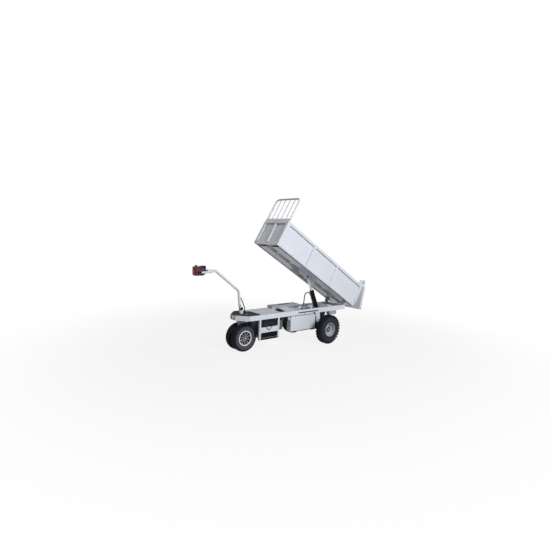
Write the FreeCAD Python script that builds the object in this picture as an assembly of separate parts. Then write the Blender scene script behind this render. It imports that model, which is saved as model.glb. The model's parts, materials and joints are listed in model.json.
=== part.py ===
"""Pedestrian-led electric dump cart: a tipping bed on a narrow chassis with two driven
rear wheels and a steered twin wheel under a bent tiller.

Millimetres.  +X is forward, +Y is left, +Z is up.  Lengths along X are written from the
rear axle and every piece is moved by REAR_AXLE_X when it is saved.  The bed and what it
carries are drawn in bed lengths: S forward from the bed's rear end, H up from its lower
edge.  The tailgate is drawn from its pin: N rearward, D down.
"""
import FreeCAD, Part
import math
import os

V = FreeCAD.Vector

# ---- driving dimensions -------------------------------------------------------------
REAR_AXLE_X = -513.0        # rear axle's place in the saved frame
WHEELBASE = 1300.0
STEER_X = WHEELBASE + 12.0  # vertical steering axis
BATTERY_FRAME_FRONT = WHEELBASE - 159.0
BATTERY_FRAME_LENGTH = 350.0
BATTERY_FRAME = (BATTERY_FRAME_FRONT - BATTERY_FRAME_LENGTH, BATTERY_FRAME_FRONT)
RUNNING = 0.05              # radial clearance of a shaft in its bore
SEAT = 0.3                  # gap between seated pieces
SIDE_PLAY = 1.0             # gap beside a lug on its pin

# chassis
DECK_TOP = 503.0
DECK_SHEET = 3.0
CHANNEL_HEIGHT = 64.0
CHANNEL_WALL = 5.0
CHANNEL_FLANGE = 45.0
FRAME_HALF = 200.0
FRAME_REAR = -582.0
FRAME_REAR_R = 26.0         # rounding of the channels' lower rear corners
NOSE_TAPER = STEER_X - 9.0
NOSE_FRONT = STEER_X + 130.0
NOSE_HALF = 58.0
CROSS_WIDTH = 40.0
# centres of the cross tubes
CROSS_MEMBERS = (BATTERY_FRAME[1] - 21.0, BATTERY_FRAME[0] - 1.0, 320.0, -300.0)
# rear and front of the well in the deck at its left and right ends, and its front corner
DECK_WELL_LEFT = (645.0, 757.0)
DECK_WELL_RIGHT = (570.0, 624.0)
DECK_WELL_KNEE = (734.0, 25.0)
DECK_REAR = 400.0           # rear edge of the deck sheet
MAT_REAR = STEER_X - 162.0
MAT_THICK = 4.0
MAT_INSET = 4.0
MAT_STRIP = (16.0, 12.0)    # length and height of the strip behind the mat
MAT_STRIP_END = -60.0       # how far it reaches to the right
LAMP_Y = (-42.0, 30.0)
LAMP_SPLIT = 0.0            # where the red and the clear lens meet
LAMP_Z = (444.0, 497.0)
LAMP_DEPTH = 14.0
SLOT = (26.0, 437.0, 10.0)  # slot in the left web: rear end, front end, height
SLOT_Z = 472.0

# raised cover on the right
COVER = (186.0, 699.0, 78.0)        # rear of its top, front end, foot of its slope
COVER_TOP = 543.0
COVER_INNER = -92.0
COVER_SHEET = 4.0

# rear wheels and axle
REAR_TYRE_R = 216.0
REAR_TYRE_W = 112.0
REAR_TRACK_HALF = 388.0
REAR_LUG = 13.0
REAR_LUGS = 16
REAR_FACETS = 32
RIM_R = 114.5
BEAD_R = 108.0
AXLE_TUBE_R = 28.0
STUB_R = 17.0
STUB_END = 412.0
GEAR_CASE = (66.0, 96.0, 62.0)      # half length, half width, half height
GEAR_CASE_Y = 55.0
MOTOR_R = 46.0
MOTOR_FRONT = 276.0
MOTOR_Z = 200.0
HANGER_Y = 165.0
HANGER_THICK = 12.0
HANGER_TOP = (-165.0, 86.0) # rear and front of a hanger at the channel
HANGER_NECK = 50.0

# front twin wheel
FRONT_TYRE_R = 187.0
FRONT_TYRE_W = 90.0
FRONT_FACETS = 44
FRONT_TRACK_HALF = 65.0
FRONT_RIM_R = 114.5
FRONT_AXLE_R = 12.5
CARRIER_HALF = 12.0
CARRIER_BOSS_R = 34.0
SPOKES = 10

# steering
POST_R = 28.5
POST_TOP = 560.0
CAP_R = 27.0
CAP_TOP_R = 18.0
CAP_HEIGHTS = (22.0, 18.0)  # heights of the cap's straight and sloped parts
CAP_FLOOR = 4.0
CAP_SLOT = 30.0
DECK_HOLE_R = 34.0
HOUSING_R = 46.0
HOUSING_PLATE = 120.0
HOUSING_PLATE_FRONT = 0.6   # its front half width as a share of the widest
HOUSING_PLATE_THICK = 8.0
TURNTABLE_R = 74.0
TURNTABLE_THICK = 14.0

# tiller
TILLER_PIN = (STEER_X + 13.0, 584.0)
TILLER_PIN_R = 6.0
TILLER_TUBE_R = 17.0
TILLER_FOOT = (STEER_X + 24.0, 612.0)
TILLER_KNEE = (STEER_X + 50.0, 822.0)
TILLER_NECK = (STEER_X + 410.0, 1098.0)
TILLER_END = (STEER_X + 539.0, 1108.0)
TILLER_BEND_R = 60.0
HEAD = (STEER_X + 554.0, STEER_X + 728.0)   # rear and front of the control head
HEAD_Z = (1050.0, 1166.0)
HEAD_HALF = 35.0
KNOB_X = STEER_X + 695.0
ARM_R = 13.0
ARM_Y = 62.0
COLLAR = (STEER_X + 672.0, 1092.0)  # centre of the round collars
COLLAR_R = 37.0
COLLAR_THICK = 9.0
HEAD_HUB_R = 18.0
FORK_REAR = STEER_X + 448.0
FORK_BEND_R = 30.0

# battery frame
BATTERY_FRAME_BASE = 153.0
POST_SIZE = 27.0
MID_BAND = (254.0, 328.0)
GUARD_TOP = 411.0
BATTERY_FRONT = BATTERY_FRAME[1] - 73.0
BATTERY_HALF = 166.0
BATTERY_TOP = 425.0
TRAY = 4.0
GUARD_BAR = 3.0
GUARD_PITCH = 23.0
GUARD_DEPTH = 8.0           # grids set in from the frame's outside

# side boxes
SIDE_BOX = (86.0, 578.0)
SIDE_BOX_Z = (208.0, 420.0)
SIDE_BOX_DEPTH = 80.0
PUMP_BOX = (215.0, 400.0)
PUMP_BOX_Y = (-10.0, 100.0)
PUMP_BOX_Z = (254.0, 405.0)
PUMP_TAB = 6.0
CONTROLLER = (520.0, BATTERY_FRAME[0] - 39.0)     # rear and front of the box under the deck's well
CONTROLLER_Y = (-110.0, 114.0)
CONTROLLER_Z = (388.0, 470.0)
CONTROLLER_TAB = (30.0, 6.0)        # width and thickness of its tabs
PUMP_POST = (394.0, 455.0)
PUMP_POST_BASE = 140.0
GUSSET_BASE = 290.0
BRACKET = (-377.0, -215.0)  # rear and front of the blocks at the cylinder's cross tube
BRACKET_BASE = 373.0
BRACKET_SLOPE = 20.0

# bed
BED_HINGE = (-550.0, 530.0)
BED_HINGE_S = 187.2
BED_HINGE_DROP = 41.1
BED_TILT = 30.6             # degrees at rest
BED_LENGTH = 1941.0
BED_HEIGHT = 375.0
BED_HALF = 263.0
BED_SHEET = 3.0
FLOOR_H = 45.0
RIB_DEPTH = 22.0
FRONT_RISE = 40.0           # header of the front wall above the side walls
BOTTOM_BAND = 35.0
TOP_RAIL = (38.0, 30.0)     # height and width
REAR_POST = 48.0
FRONT_POST = 24.0
RIB_WIDTH = 40.0
RIB_FRONTS = (738.0, 1319.0)        # front edges of the two side ribs
FRONT_WALL = 30.0
HINGE_Y = 175.0             # middle of the hinge ears
BEAM = (62.0, 200.0)        # inner and outer side of the floor beams
BEAM_WALL = 3.0
BEAM_FRONT = 1860.0
BED_CROSS = (300.0, 540.0, 770.0, 1060.0, 1350.0, 1640.0)
HINGE_PIN_R = 10.0
HINGE_LUG_R = 22.0
HINGE_EAR_R = 20.0
HINGE_LUG = 10.0
HEADER_STEP = 8.0           # header set back from the rail below it
GRILLE_RISE = 376.0
GRILLE_LEG_Y = 250.0
GRILLE_LEG_R = 13.0
GRILLE_BAR_R = 7.0
GRILLE_BARS = (-150.0, -50.0, 50.0, 150.0)
GRILLE_CORNER_R = 60.0

# tailgate
GATE_PIN_S = 24.0
GATE_PIN_RISE = 55.0        # gate pin above the bed's top edge
GATE_PIN_H = BED_HEIGHT + GATE_PIN_RISE
GATE_LEAN = 12.9            # degrees from plumb at rest
GATE_OFFSET = 36.0
GATE_THICK = 45.0
GATE_TOP = GATE_PIN_RISE + 11.0
GATE_BOTTOM = 442.0
GATE_PIN_R = 8.0
GATE_EAR_R = 22.0
GATE_EAR = 11.0

# tipping cylinder
CYLINDER_BASE = (-165.0, 400.0)
ROD_PIN_S = 956.0
ROD_PIN_H = 0.0
BARREL_R = 32.5
BARREL_LENGTH = 377.0       # base pin to gland
BARREL_FOOT = 46.0
BARREL_NECK_R = 16.0
ROD_R = 17.5
EYE_R = 22.0
EYE_HALF = 20.0
EYE_PIN_R = 11.0
ROD_FOOT = 285.0            # rod's inner end from the base pin, at rest
BARREL_FLOOR = 70.0
BASE_EYE_R = 28.0
BASE_PIN_R = 12.0
EAR_GAP = 18.0
EAR_THICK = 10.0
ROD_EAR = (900.0, 1012.0)   # rear and front of the ears beside the rod's eye
ROD_EAR_DROP = 34.0
SIDE_PLATE = (846.0, 1250.0)        # rear and front of the plates under the beams
SIDE_PLATE_DROP = 60.0
SIDE_PLATE_Y = 74.0
SIDE_PLATE_HOLE = (1032.0, -26.0)
SIDE_PLATE_HOLE_R = 14.0

CHANNEL_TOP = DECK_TOP - DECK_SHEET
CHANNEL_BASE = CHANNEL_TOP - CHANNEL_HEIGHT


# ---- making and saving --------------------------------------------------------------
def box(x, y, z):
    """A block between the two ends given on each axis."""
    low = V(min(x), min(y), min(z))
    return Part.makeBox(abs(x[1] - x[0]), abs(y[1] - y[0]), abs(z[1] - z[0]), low)


def rod_between(a, b, radius):
    """A round bar from point a to point b."""
    start = V(*a)
    run = V(*b) - start
    return Part.makeCylinder(radius, run.Length, start, run)


def across(x, z, radius, y):
    """A round bar along Y at x, z between the two ends in y."""
    return rod_between((x, min(y), z), (x, max(y), z), radius)


def plate(points, y):
    """A flat plate with an outline of (x, z) points, between the two ends in y."""
    corners = [V(a, min(y), b) for a, b in points]
    face = Part.Face(Part.makePolygon(corners + corners[:1]))
    return face.extrude(V(0, abs(y[1] - y[0]), 0))


def slab(points, z):
    """A flat slab with an outline of (x, y) points, between the two ends in z."""
    corners = [V(a, b, min(z)) for a, b in points]
    face = Part.Face(Part.makePolygon(corners + corners[:1]))
    return face.extrude(V(0, 0, abs(z[1] - z[0])))


def turned(profile, x, z, y):
    """A turned piece: (radius, offset along Y) points spun about the Y line at x, y, z."""
    corners = [V(x + r, y + offset, z) for r, offset in profile]
    face = Part.Face(Part.makePolygon(corners + corners[:1]))
    return face.revolve(V(x, y, z), V(0, 1, 0), 360)


def faceted(profile, sides, x, z, y):
    """Like turned, with flat facets, one of them lying flat on the ground."""
    rings = []
    for r, offset in profile:
        corner_r = r / math.cos(math.pi / sides)
        ring = []
        for i in range(sides):
            turn = 2 * math.pi * (i + 0.5) / sides - math.pi / 2
            ring.append(V(x + corner_r * math.cos(turn), y + offset,
                          z + corner_r * math.sin(turn)))
        rings.append(ring)
    faces = []
    for ring, following in zip(rings, rings[1:] + rings[:1]):
        for i in range(sides):
            k = (i + 1) % sides
            corners = [ring[i], ring[k], following[k], following[i], ring[i]]
            faces.append(Part.Face(Part.makePolygon(corners)))
    solid = Part.Solid(Part.makeShell(faces))
    if solid.Volume < 0:
        solid.reverse()
    return solid


def join(first, *others):
    """One solid from several, or several that don't touch."""
    shape = first.fuse(list(others)) if others else first
    return shape.removeSplitter()


def mirrored(shape):
    """The same piece on the other side of the cart."""
    return shape.mirror(V(0, 0, 0), V(0, 1, 0))


def both(shape):
    """A piece and its mirror image in one node."""
    return Part.makeCompound([shape, mirrored(shape)])


def bent_path(points, radius):
    """Straight runs through the points, joined by arcs of one radius."""
    edges = []
    start = V(*points[0])
    for before, corner, after in zip(points, points[1:], points[2:]):
        corner = V(*corner)
        back = (V(*before) - corner).normalize()
        ahead = (V(*after) - corner).normalize()
        half_turn = (math.pi - back.getAngle(ahead)) / 2
        cut = radius * math.tan(half_turn)
        arc_start = corner + back * cut
        arc_end = corner + ahead * cut
        inward = (back + ahead).normalize()
        middle = corner + inward * (radius / math.cos(half_turn) - radius)
        edges.append(Part.LineSegment(start, arc_start).toShape())
        edges.append(Part.Arc(arc_start, middle, arc_end).toShape())
        start = arc_end
    edges.append(Part.LineSegment(start, V(*points[-1])).toShape())
    return Part.Wire(edges)


def tube_along(path, radius):
    """A round bar swept along a path."""
    first = path.OrderedEdges[0]
    start = first.valueAt(first.FirstParameter)
    direction = first.tangentAt(first.FirstParameter)
    ring = Part.Wire(Part.makeCircle(radius, start, direction))
    return path.makePipeShell([ring], True, False)


def cord_path(points):
    """Straight runs joined by arcs, each as large as its two runs allow."""
    edges = []
    radii = []
    start = V(*points[0])
    for before, corner, after in zip(points, points[1:], points[2:]):
        corner = V(*corner)
        back = V(*before) - corner
        ahead = V(*after) - corner
        half_turn = (math.pi - back.getAngle(ahead)) / 2
        cut = 0.45 * min(back.Length, ahead.Length)
        radius = cut / math.tan(half_turn)
        radii.append(radius)
        back.normalize()
        ahead.normalize()
        inward = (back + ahead).normalize()
        middle = corner + inward * (radius / math.cos(half_turn) - radius)
        edges.append(Part.LineSegment(start, corner + back * cut).toShape())
        edges.append(Part.Arc(corner + back * cut, middle, corner + ahead * cut).toShape())
        start = corner + ahead * cut
    edges.append(Part.LineSegment(start, V(*points[-1])).toShape())
    return Part.Wire(edges), radii


def save(name, shape):
    """Write one node, moved to the saved frame."""
    moved = shape.copy()
    moved.translate(V(REAR_AXLE_X, 0, 0))
    moved.exportStep("parts/" + name + ".step")


# ---- the bed's and the tailgate's own frames ----------------------------------------
def bed_point(s, h):
    """(x, z) of a place in the raised bed."""
    along = s - BED_HINGE_S
    up = h + BED_HINGE_DROP
    tilt = math.radians(BED_TILT)
    x = BED_HINGE[0] + along * math.cos(tilt) - up * math.sin(tilt)
    z = BED_HINGE[1] + along * math.sin(tilt) + up * math.cos(tilt)
    return x, z


def on_bed(shape):
    """Carry a piece drawn in bed lengths to the raised bed."""
    placed = shape.copy()
    placed.translate(V(-BED_HINGE_S, 0, BED_HINGE_DROP))
    placed.rotate(V(0, 0, 0), V(0, 1, 0), -BED_TILT)
    placed.translate(V(BED_HINGE[0], 0, BED_HINGE[1]))
    return placed


def on_gate(shape):
    """Carry a piece drawn with X = -N and Z = -D to the hanging tailgate."""
    pin = bed_point(GATE_PIN_S, GATE_PIN_H)
    placed = shape.copy()
    placed.rotate(V(0, 0, 0), V(0, 1, 0), -GATE_LEAN)
    placed.translate(V(pin[0], 0, pin[1]))
    return placed


ROD_PIN = bed_point(ROD_PIN_S, ROD_PIN_H)
CYLINDER_RISE = math.atan2(ROD_PIN[1] - CYLINDER_BASE[1], ROD_PIN[0] - CYLINDER_BASE[0])
CYLINDER_SPAN = math.hypot(ROD_PIN[0] - CYLINDER_BASE[0], ROD_PIN[1] - CYLINDER_BASE[1])


def on_cylinder(shape):
    """Carry a piece drawn along X from the base pin to the raised cylinder."""
    placed = shape.copy()
    placed.rotate(V(0, 0, 0), V(0, 1, 0), -math.degrees(CYLINDER_RISE))
    placed.translate(V(CYLINDER_BASE[0], 0, CYLINDER_BASE[1]))
    return placed


# ---- chassis --------------------------------------------------------------------------
def frame_outline(inset):
    """(x, y) outline of the channel frame, moved inward by inset."""
    slope = math.atan2(FRAME_HALF - NOSE_HALF, NOSE_FRONT - NOSE_TAPER)
    side_shift = inset * math.tan(slope / 2)
    front_shift = inset * math.tan((math.pi / 2 - slope) / 2)
    half = FRAME_HALF - inset
    nose = NOSE_HALF - front_shift
    taper = NOSE_TAPER - side_shift
    front = NOSE_FRONT - inset
    rear = FRAME_REAR + inset
    return [(rear, half), (taper, half), (front, nose),
            (front, -nose), (taper, -half), (rear, -half)]


def chassis_frame():
    """Channels folded round the outline with their open side inward, and cross tubes."""
    height = (CHANNEL_BASE, CHANNEL_TOP)
    groove = (CHANNEL_BASE + CHANNEL_WALL, CHANNEL_TOP - CHANNEL_WALL)
    frame = slab(frame_outline(0), height)
    frame = frame.cut(slab(frame_outline(CHANNEL_FLANGE), height))
    corner = V(FRAME_REAR + FRAME_REAR_R, -FRAME_HALF, CHANNEL_BASE + FRAME_REAR_R)
    round_end = Part.makeCylinder(FRAME_REAR_R, 2 * FRAME_HALF, corner, V(0, 1, 0))
    square_end = box((FRAME_REAR, corner.x), (-FRAME_HALF, FRAME_HALF), (CHANNEL_BASE, corner.z))
    frame = frame.cut(slab(frame_outline(CHANNEL_WALL), groove))
    inner = FRAME_HALF - CHANNEL_WALL
    for centre in CROSS_MEMBERS:
        x = (centre - CROSS_WIDTH / 2, centre + CROSS_WIDTH / 2)
        frame = frame.fuse(box(x, (-inner, inner), groove))
    slot_z = (SLOT_Z - SLOT[2] / 2, SLOT_Z + SLOT[2] / 2)
    frame = frame.cut(box(SLOT[:2], (inner - 1, FRAME_HALF + 1), slot_z))
    return frame.cut(square_end.cut(round_end)).removeSplitter()


def deck_plate():
    """Sheet over the front of the frame with a well across it, and strips along both sides."""
    z = (CHANNEL_TOP, DECK_TOP)
    inner = FRAME_HALF - CHANNEL_FLANGE
    sheet = slab(frame_outline(0), z)
    rear = box((FRAME_REAR, DECK_REAR), (-inner, inner), z)
    left, right = DECK_WELL_LEFT, DECK_WELL_RIGHT
    well = slab([(left[1], inner), DECK_WELL_KNEE, (right[1], COVER_INNER),
                 (right[0], COVER_INNER), (left[0], inner)], z)
    hole = Part.makeCylinder(DECK_HOLE_R, DECK_SHEET, V(STEER_X, 0, CHANNEL_TOP))
    return sheet.cut(rear).cut(well).cut(hole).removeSplitter()


def deck_mat():
    """Mat on the nose round the steering post."""
    z = (DECK_TOP, DECK_TOP + MAT_THICK)
    mat = slab(frame_outline(MAT_INSET), z)
    mat = mat.cut(box((FRAME_REAR, MAT_REAR), (-FRAME_HALF, FRAME_HALF), z))
    return mat.cut(Part.makeCylinder(DECK_HOLE_R, MAT_THICK, V(STEER_X, 0, DECK_TOP)))


def mat_strip():
    """Raised strip on the deck behind the mat's left part."""
    y = (MAT_STRIP_END, FRAME_HALF - MAT_INSET)
    length, height = MAT_STRIP
    return box((MAT_REAR - length, MAT_REAR), y, (DECK_TOP, DECK_TOP + height))


def side_cover():
    """Folded sheet cover along the right of the deck, sloping down at its rear."""
    rear, front, foot = COVER
    outer = -FRAME_HALF
    base = DECK_TOP
    shell = [(foot, base), (rear, COVER_TOP), (front, COVER_TOP), (front, base)]
    inside = [(foot + 3 * COVER_SHEET, base), (rear, COVER_TOP - COVER_SHEET),
              (front - COVER_SHEET, COVER_TOP - COVER_SHEET), (front - COVER_SHEET, base)]
    cover = plate(shell, (outer, COVER_INNER))
    return cover.cut(plate(inside, (outer + COVER_SHEET, COVER_INNER - COVER_SHEET)))


def steer_housing():
    """Bearing tube for the steering post on a plate across the nose."""
    base = CHANNEL_BASE + CHANNEL_WALL
    top = CHANNEL_TOP - CHANNEL_WALL
    reach = HOUSING_PLATE / 2
    tube = Part.makeCylinder(HOUSING_R, top - base, V(STEER_X, 0, base))
    half = FRAME_HALF - CHANNEL_WALL - SEAT
    front = half * HOUSING_PLATE_FRONT
    outline = [(STEER_X - reach, -half), (STEER_X - reach, half), (NOSE_TAPER - 10, half),
               (STEER_X + reach, front), (STEER_X + reach, -front), (NOSE_TAPER - 10, -half)]
    floor = slab(outline, (base, base + HOUSING_PLATE_THICK))
    bore = Part.makeCylinder(POST_R + RUNNING, top - base, V(STEER_X, 0, base))
    return join(tube, floor).cut(bore)


def lamp_half(y):
    """One lens of the two-part nose lamp with its round end."""
    x = (NOSE_FRONT, NOSE_FRONT + LAMP_DEPTH)
    radius = (LAMP_Z[1] - LAMP_Z[0]) / 2
    z = LAMP_Z[0] + radius
    centres = (LAMP_Y[0] + radius, LAMP_Y[1] - radius)
    ends = [rod_between((x[0], centre, z), (x[1], centre, z), radius) for centre in centres]
    return join(box(x, centres, LAMP_Z), *ends).common(box(x, y, LAMP_Z)).removeSplitter()


# ---- under the deck -------------------------------------------------------------------
def battery_frame():
    """Square posts down from the channels with a mid band, low rails and a sheet tray."""
    rear, front = BATTERY_FRAME
    outer = FRAME_HALF
    inner = outer - POST_SIZE
    low = (BATTERY_FRAME_BASE, BATTERY_FRAME_BASE + POST_SIZE)
    tall = (BATTERY_FRAME_BASE, CHANNEL_BASE)
    side = join(
        box((rear, rear + POST_SIZE), (inner, outer), tall),
        box((front - POST_SIZE, front), (inner, outer), tall),
        box((rear, front), (inner, outer - GUARD_DEPTH - GUARD_BAR - SEAT), low),
        box((rear, front), (outer - 6, outer), MID_BAND),
        box((rear, front), (outer - 6, outer), (GUARD_TOP, GUARD_TOP + 12)))
    ties = [box((x, x + POST_SIZE), (-inner, inner), low)
            for x in (rear, BATTERY_FRONT - POST_SIZE)]
    tray = box((rear, BATTERY_FRONT), (-inner, inner), (low[1] - TRAY, low[1] + TRAY))
    return join(side, mirrored(side), *ties, tray)


def battery_guards():
    """Bar grids behind the upper and lower openings of the battery frame."""
    rear = BATTERY_FRAME[0] + POST_SIZE
    front = BATTERY_FRAME[1] - POST_SIZE
    outer = FRAME_HALF - GUARD_DEPTH
    grids = []
    spans = ((BATTERY_FRAME_BASE + 5, MID_BAND[0]), (MID_BAND[1], GUARD_TOP))
    for bottom, top in spans:
        bars = []
        count = int((front - rear) / GUARD_PITCH)
        step = (front - rear) / count
        for i in range(1, count):
            x = rear + i * step
            bars.append(box((x, x + GUARD_BAR), (outer - GUARD_BAR, outer), (bottom, top)))
        rows = max(2, int((top - bottom) / GUARD_PITCH))
        rise = (top - bottom) / rows
        for i in range(rows + 1):
            z = min(bottom + i * rise, top - GUARD_BAR)
            bars.append(box((rear, front), (outer - GUARD_BAR, outer), (z, z + GUARD_BAR)))
        grids.append(join(*bars))
    return Part.makeCompound(grids + [mirrored(grid) for grid in grids])


def batteries():
    """Two batteries side by side."""
    base = BATTERY_FRAME_BASE + POST_SIZE + TRAY
    left = box((BATTERY_FRAME[0] + 12, BATTERY_FRONT - 6), (3, BATTERY_HALF), (base, BATTERY_TOP))
    return both(left)


def side_box():
    """White sheet box hung under the left channel by two tabs."""
    outer = FRAME_HALF
    inner = outer - SIDE_BOX_DEPTH
    body = box(SIDE_BOX, (inner, outer), SIDE_BOX_Z)
    tabs = []
    for x in (SIDE_BOX[0] + 40, SIDE_BOX[1] - 80):
        tabs.append(box((x, x + 40), (outer - 30, outer - 24), (SIDE_BOX_Z[1], CHANNEL_BASE)))
    return join(body, *tabs)


def pump_box():
    """Hydraulic pump and tank hung from the cross tube ahead of the cylinder."""
    body = box(PUMP_BOX, PUMP_BOX_Y, PUMP_BOX_Z)
    middle = CROSS_MEMBERS[2]
    z = (PUMP_BOX_Z[1], CHANNEL_BASE + CHANNEL_WALL)
    right, left = PUMP_BOX_Y
    tabs = [box((middle - 15, middle + 15), (y, y + PUMP_TAB), z)
            for y in (right + 12, left - 12 - PUMP_TAB)]
    return join(body, *tabs)


def controller():
    """Controller box that hangs from the deck under its well."""
    body = box(CONTROLLER, CONTROLLER_Y, CONTROLLER_Z)
    width, thick = CONTROLLER_TAB
    z = (CONTROLLER_Z[1], CHANNEL_TOP)
    rear, front = CONTROLLER
    tabs = [box(x, (y, y + width), z)
            for x in ((rear, rear + thick), (front - thick, front)) for y in (-60, 60)]
    return join(body, *tabs)


def pump_frame():
    """Flat post that guards the pump."""
    y = (-FRAME_HALF, -FRAME_HALF + 6)
    return box(PUMP_POST, y, (PUMP_POST_BASE, CHANNEL_BASE))


def axle_hangers():
    """Plates from the channels down to the axle tube."""
    y = (HANGER_Y - HANGER_THICK / 2, HANGER_Y + HANGER_THICK / 2)
    z = REAR_TYRE_R
    outline = [(HANGER_TOP[0], CHANNEL_BASE), (HANGER_TOP[1], CHANNEL_BASE),
               (HANGER_NECK, GUSSET_BASE), (44, z - 34), (-44, z - 34),
               (-HANGER_NECK, GUSSET_BASE), (HANGER_TOP[0] + 14, CHANNEL_BASE - 50)]
    return both(plate(outline, y).cut(across(0, z, AXLE_TUBE_R + SEAT, y)))


def axle_gussets():
    """Tapered gussets outside the hangers."""
    skin = FRAME_HALF - 6
    gusset = plate([(-8, CHANNEL_BASE), (80, CHANNEL_BASE), (HANGER_NECK, GUSSET_BASE),
                    (-21, GUSSET_BASE)], (skin, FRAME_HALF))
    web = box((-8, HANGER_NECK), (HANGER_Y + HANGER_THICK / 2, skin),
              (GUSSET_BASE, CHANNEL_BASE))
    return both(join(gusset, web))


def rear_brackets():
    """Blocks under the channels at the cylinder's cross tube."""
    y = (FRAME_HALF - 70, FRAME_HALF - 1)
    rear, front = BRACKET
    outline = [(rear, CHANNEL_BASE), (front, CHANNEL_BASE),
               (front - BRACKET_SLOPE, BRACKET_BASE), (rear, BRACKET_BASE)]
    return both(plate(outline, y))


def axle_beam():
    """Axle tubes, gear case and stub shafts."""
    z = REAR_TYRE_R
    wheel_inner = REAR_TRACK_HALF - REAR_TYRE_W / 2
    tube = across(0, z, AXLE_TUBE_R, (-wheel_inner + 14, wheel_inner - 14))
    half, width, height = GEAR_CASE
    case = box((-half, half), (GEAR_CASE_Y - width / 2, GEAR_CASE_Y + width / 2),
               (z - height, z + height))
    stub = across(0, z, STUB_R, (-STUB_END, STUB_END))
    return join(tube, case, stub)


def drive_motor():
    """Electric motor ahead of the gear case."""
    start = (GEAR_CASE[0], GEAR_CASE_Y, MOTOR_Z)
    end = (MOTOR_FRONT, GEAR_CASE_Y, MOTOR_Z)
    return rod_between(start, end, MOTOR_R)


def hinge_lugs():
    """Pairs of lugs on the frame's rear end with the bed's hinge pins."""
    x, z = BED_HINGE
    inner = HINGE_Y - 7 - SIDE_PLAY
    outer = HINGE_Y + 7 + SIDE_PLAY
    lugs = []
    for y in ((inner - HINGE_LUG, inner), (outer, outer + HINGE_LUG)):
        foot = plate([(x - HINGE_LUG_R, DECK_TOP), (x + HINGE_LUG_R, DECK_TOP),
                      (x + HINGE_LUG_R, z), (x - HINGE_LUG_R, z)], y)
        lugs.append(join(foot, across(x, z, HINGE_LUG_R, y).common(
            box((x - 50, x + 50), y, (DECK_TOP, z + 50)))))
    pin = across(x, z, HINGE_PIN_R, (inner - HINGE_LUG - 4, outer + HINGE_LUG + 4))
    return both(join(*lugs, pin))


def cylinder_base():
    """Ears on the cross tube behind the cylinder, with its base pin."""
    x, z = CYLINDER_BASE
    tube = CROSS_MEMBERS[3] + CROSS_WIDTH / 2
    inner = EYE_HALF + SIDE_PLAY
    ears = []
    for side in (1, -1):
        y = (side * inner, side * (inner + EAR_THICK))
        arm = plate([(tube, CHANNEL_TOP - CHANNEL_WALL), (tube, CHANNEL_BASE + CHANNEL_WALL),
                     (x - 6, z - BASE_EYE_R), (x + 14, z + BASE_EYE_R - 4)], y)
        ears.append(join(arm, across(x, z, BASE_EYE_R, y)))
    reach = inner + EAR_THICK + 5
    pin = across(x, z, BASE_PIN_R, (-reach, reach))
    return join(*ears, pin)


# ---- wheels ---------------------------------------------------------------------------
def lug_block(radius, depth, y, width, angle, x, z):
    """One tread block standing out of a tyre."""
    block = box((radius - depth - 6, radius), y, (-width / 2, width / 2))
    block.rotate(V(0, 0, 0), V(0, 1, 0), angle)
    block.translate(V(x, 0, z))
    return block


def rear_tyre(side):
    """Tyre with two staggered rows of deep blocks."""
    half = REAR_TYRE_W / 2
    carcass = REAR_TYRE_R - REAR_LUG
    shoulder = carcass - 18
    y = side * REAR_TRACK_HALF
    profile = [(BEAD_R + SEAT, -half + 14), (shoulder - 42, -half), (shoulder, -half),
               (carcass, -half + 26), (carcass, half - 26), (shoulder, half),
               (shoulder - 42, half), (BEAD_R + SEAT, half - 14)]
    tyre = faceted(profile, REAR_FACETS, 0, REAR_TYRE_R, y)
    blocks = []
    pitch = 360 / REAR_LUGS
    for i in range(REAR_LUGS):
        for row, shift in ((1, 0), (-1, pitch / 2)):
            ends = (y + row * 4, y + row * (half - 6))
            blocks.append(lug_block(REAR_TYRE_R, REAR_LUG, ends, 36, i * pitch + shift, 0,
                                    REAR_TYRE_R))
    return tyre.fuse(blocks).removeSplitter()


def rim_barrel(half, wall, flange, bead):
    """Rim well with a flange at each edge."""
    profile = [(flange, -half), (flange, -half + wall), (bead, -half + 2 * wall),
               (bead, half - 2 * wall), (flange, half - wall), (flange, half),
               (bead - wall, half - wall), (bead - wall, -half + wall)]
    return profile


RIM_WALL = 4.0
HUB_R = 42.0
HUB_HALF = 22.0
REAR_DISC = 6.0             # rear disc's place outward of the wheel's middle


def rear_wheel_rim(side):
    """Deep-dish rim: barrel, disc and hub bored for the stub shaft."""
    half = REAR_TYRE_W / 2 - 6
    y = side * REAR_TRACK_HALF
    barrel = turned(rim_barrel(half, RIM_WALL, RIM_R, BEAD_R), 0, REAR_TYRE_R, y)
    middle = y - side * REAR_DISC
    disc = across(0, REAR_TYRE_R, BEAD_R - RIM_WALL / 2, (middle - RIM_WALL, middle + RIM_WALL))
    hub = across(0, REAR_TYRE_R, HUB_R, (middle - HUB_HALF, middle + HUB_HALF))
    bore = across(0, REAR_TYRE_R, STUB_R + RUNNING, (y - REAR_TYRE_W, y + REAR_TYRE_W))
    return join(barrel, disc, hub).cut(bore)


def front_tyre(side):
    """Narrow road tyre."""
    half = FRONT_TYRE_W / 2
    y = side * FRONT_TRACK_HALF
    tread = FRONT_TYRE_R
    profile = [(BEAD_R + SEAT, -half + 16), (tread - 52, -half), (tread - 24, -half),
               (tread - 6, -half + 12), (tread, -half + 26), (tread, half - 26),
               (tread - 6, half - 12), (tread - 24, half), (tread - 52, half),
               (BEAD_R + SEAT, half - 16)]
    return faceted(profile, FRONT_FACETS, WHEELBASE, FRONT_TYRE_R, y)


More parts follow.
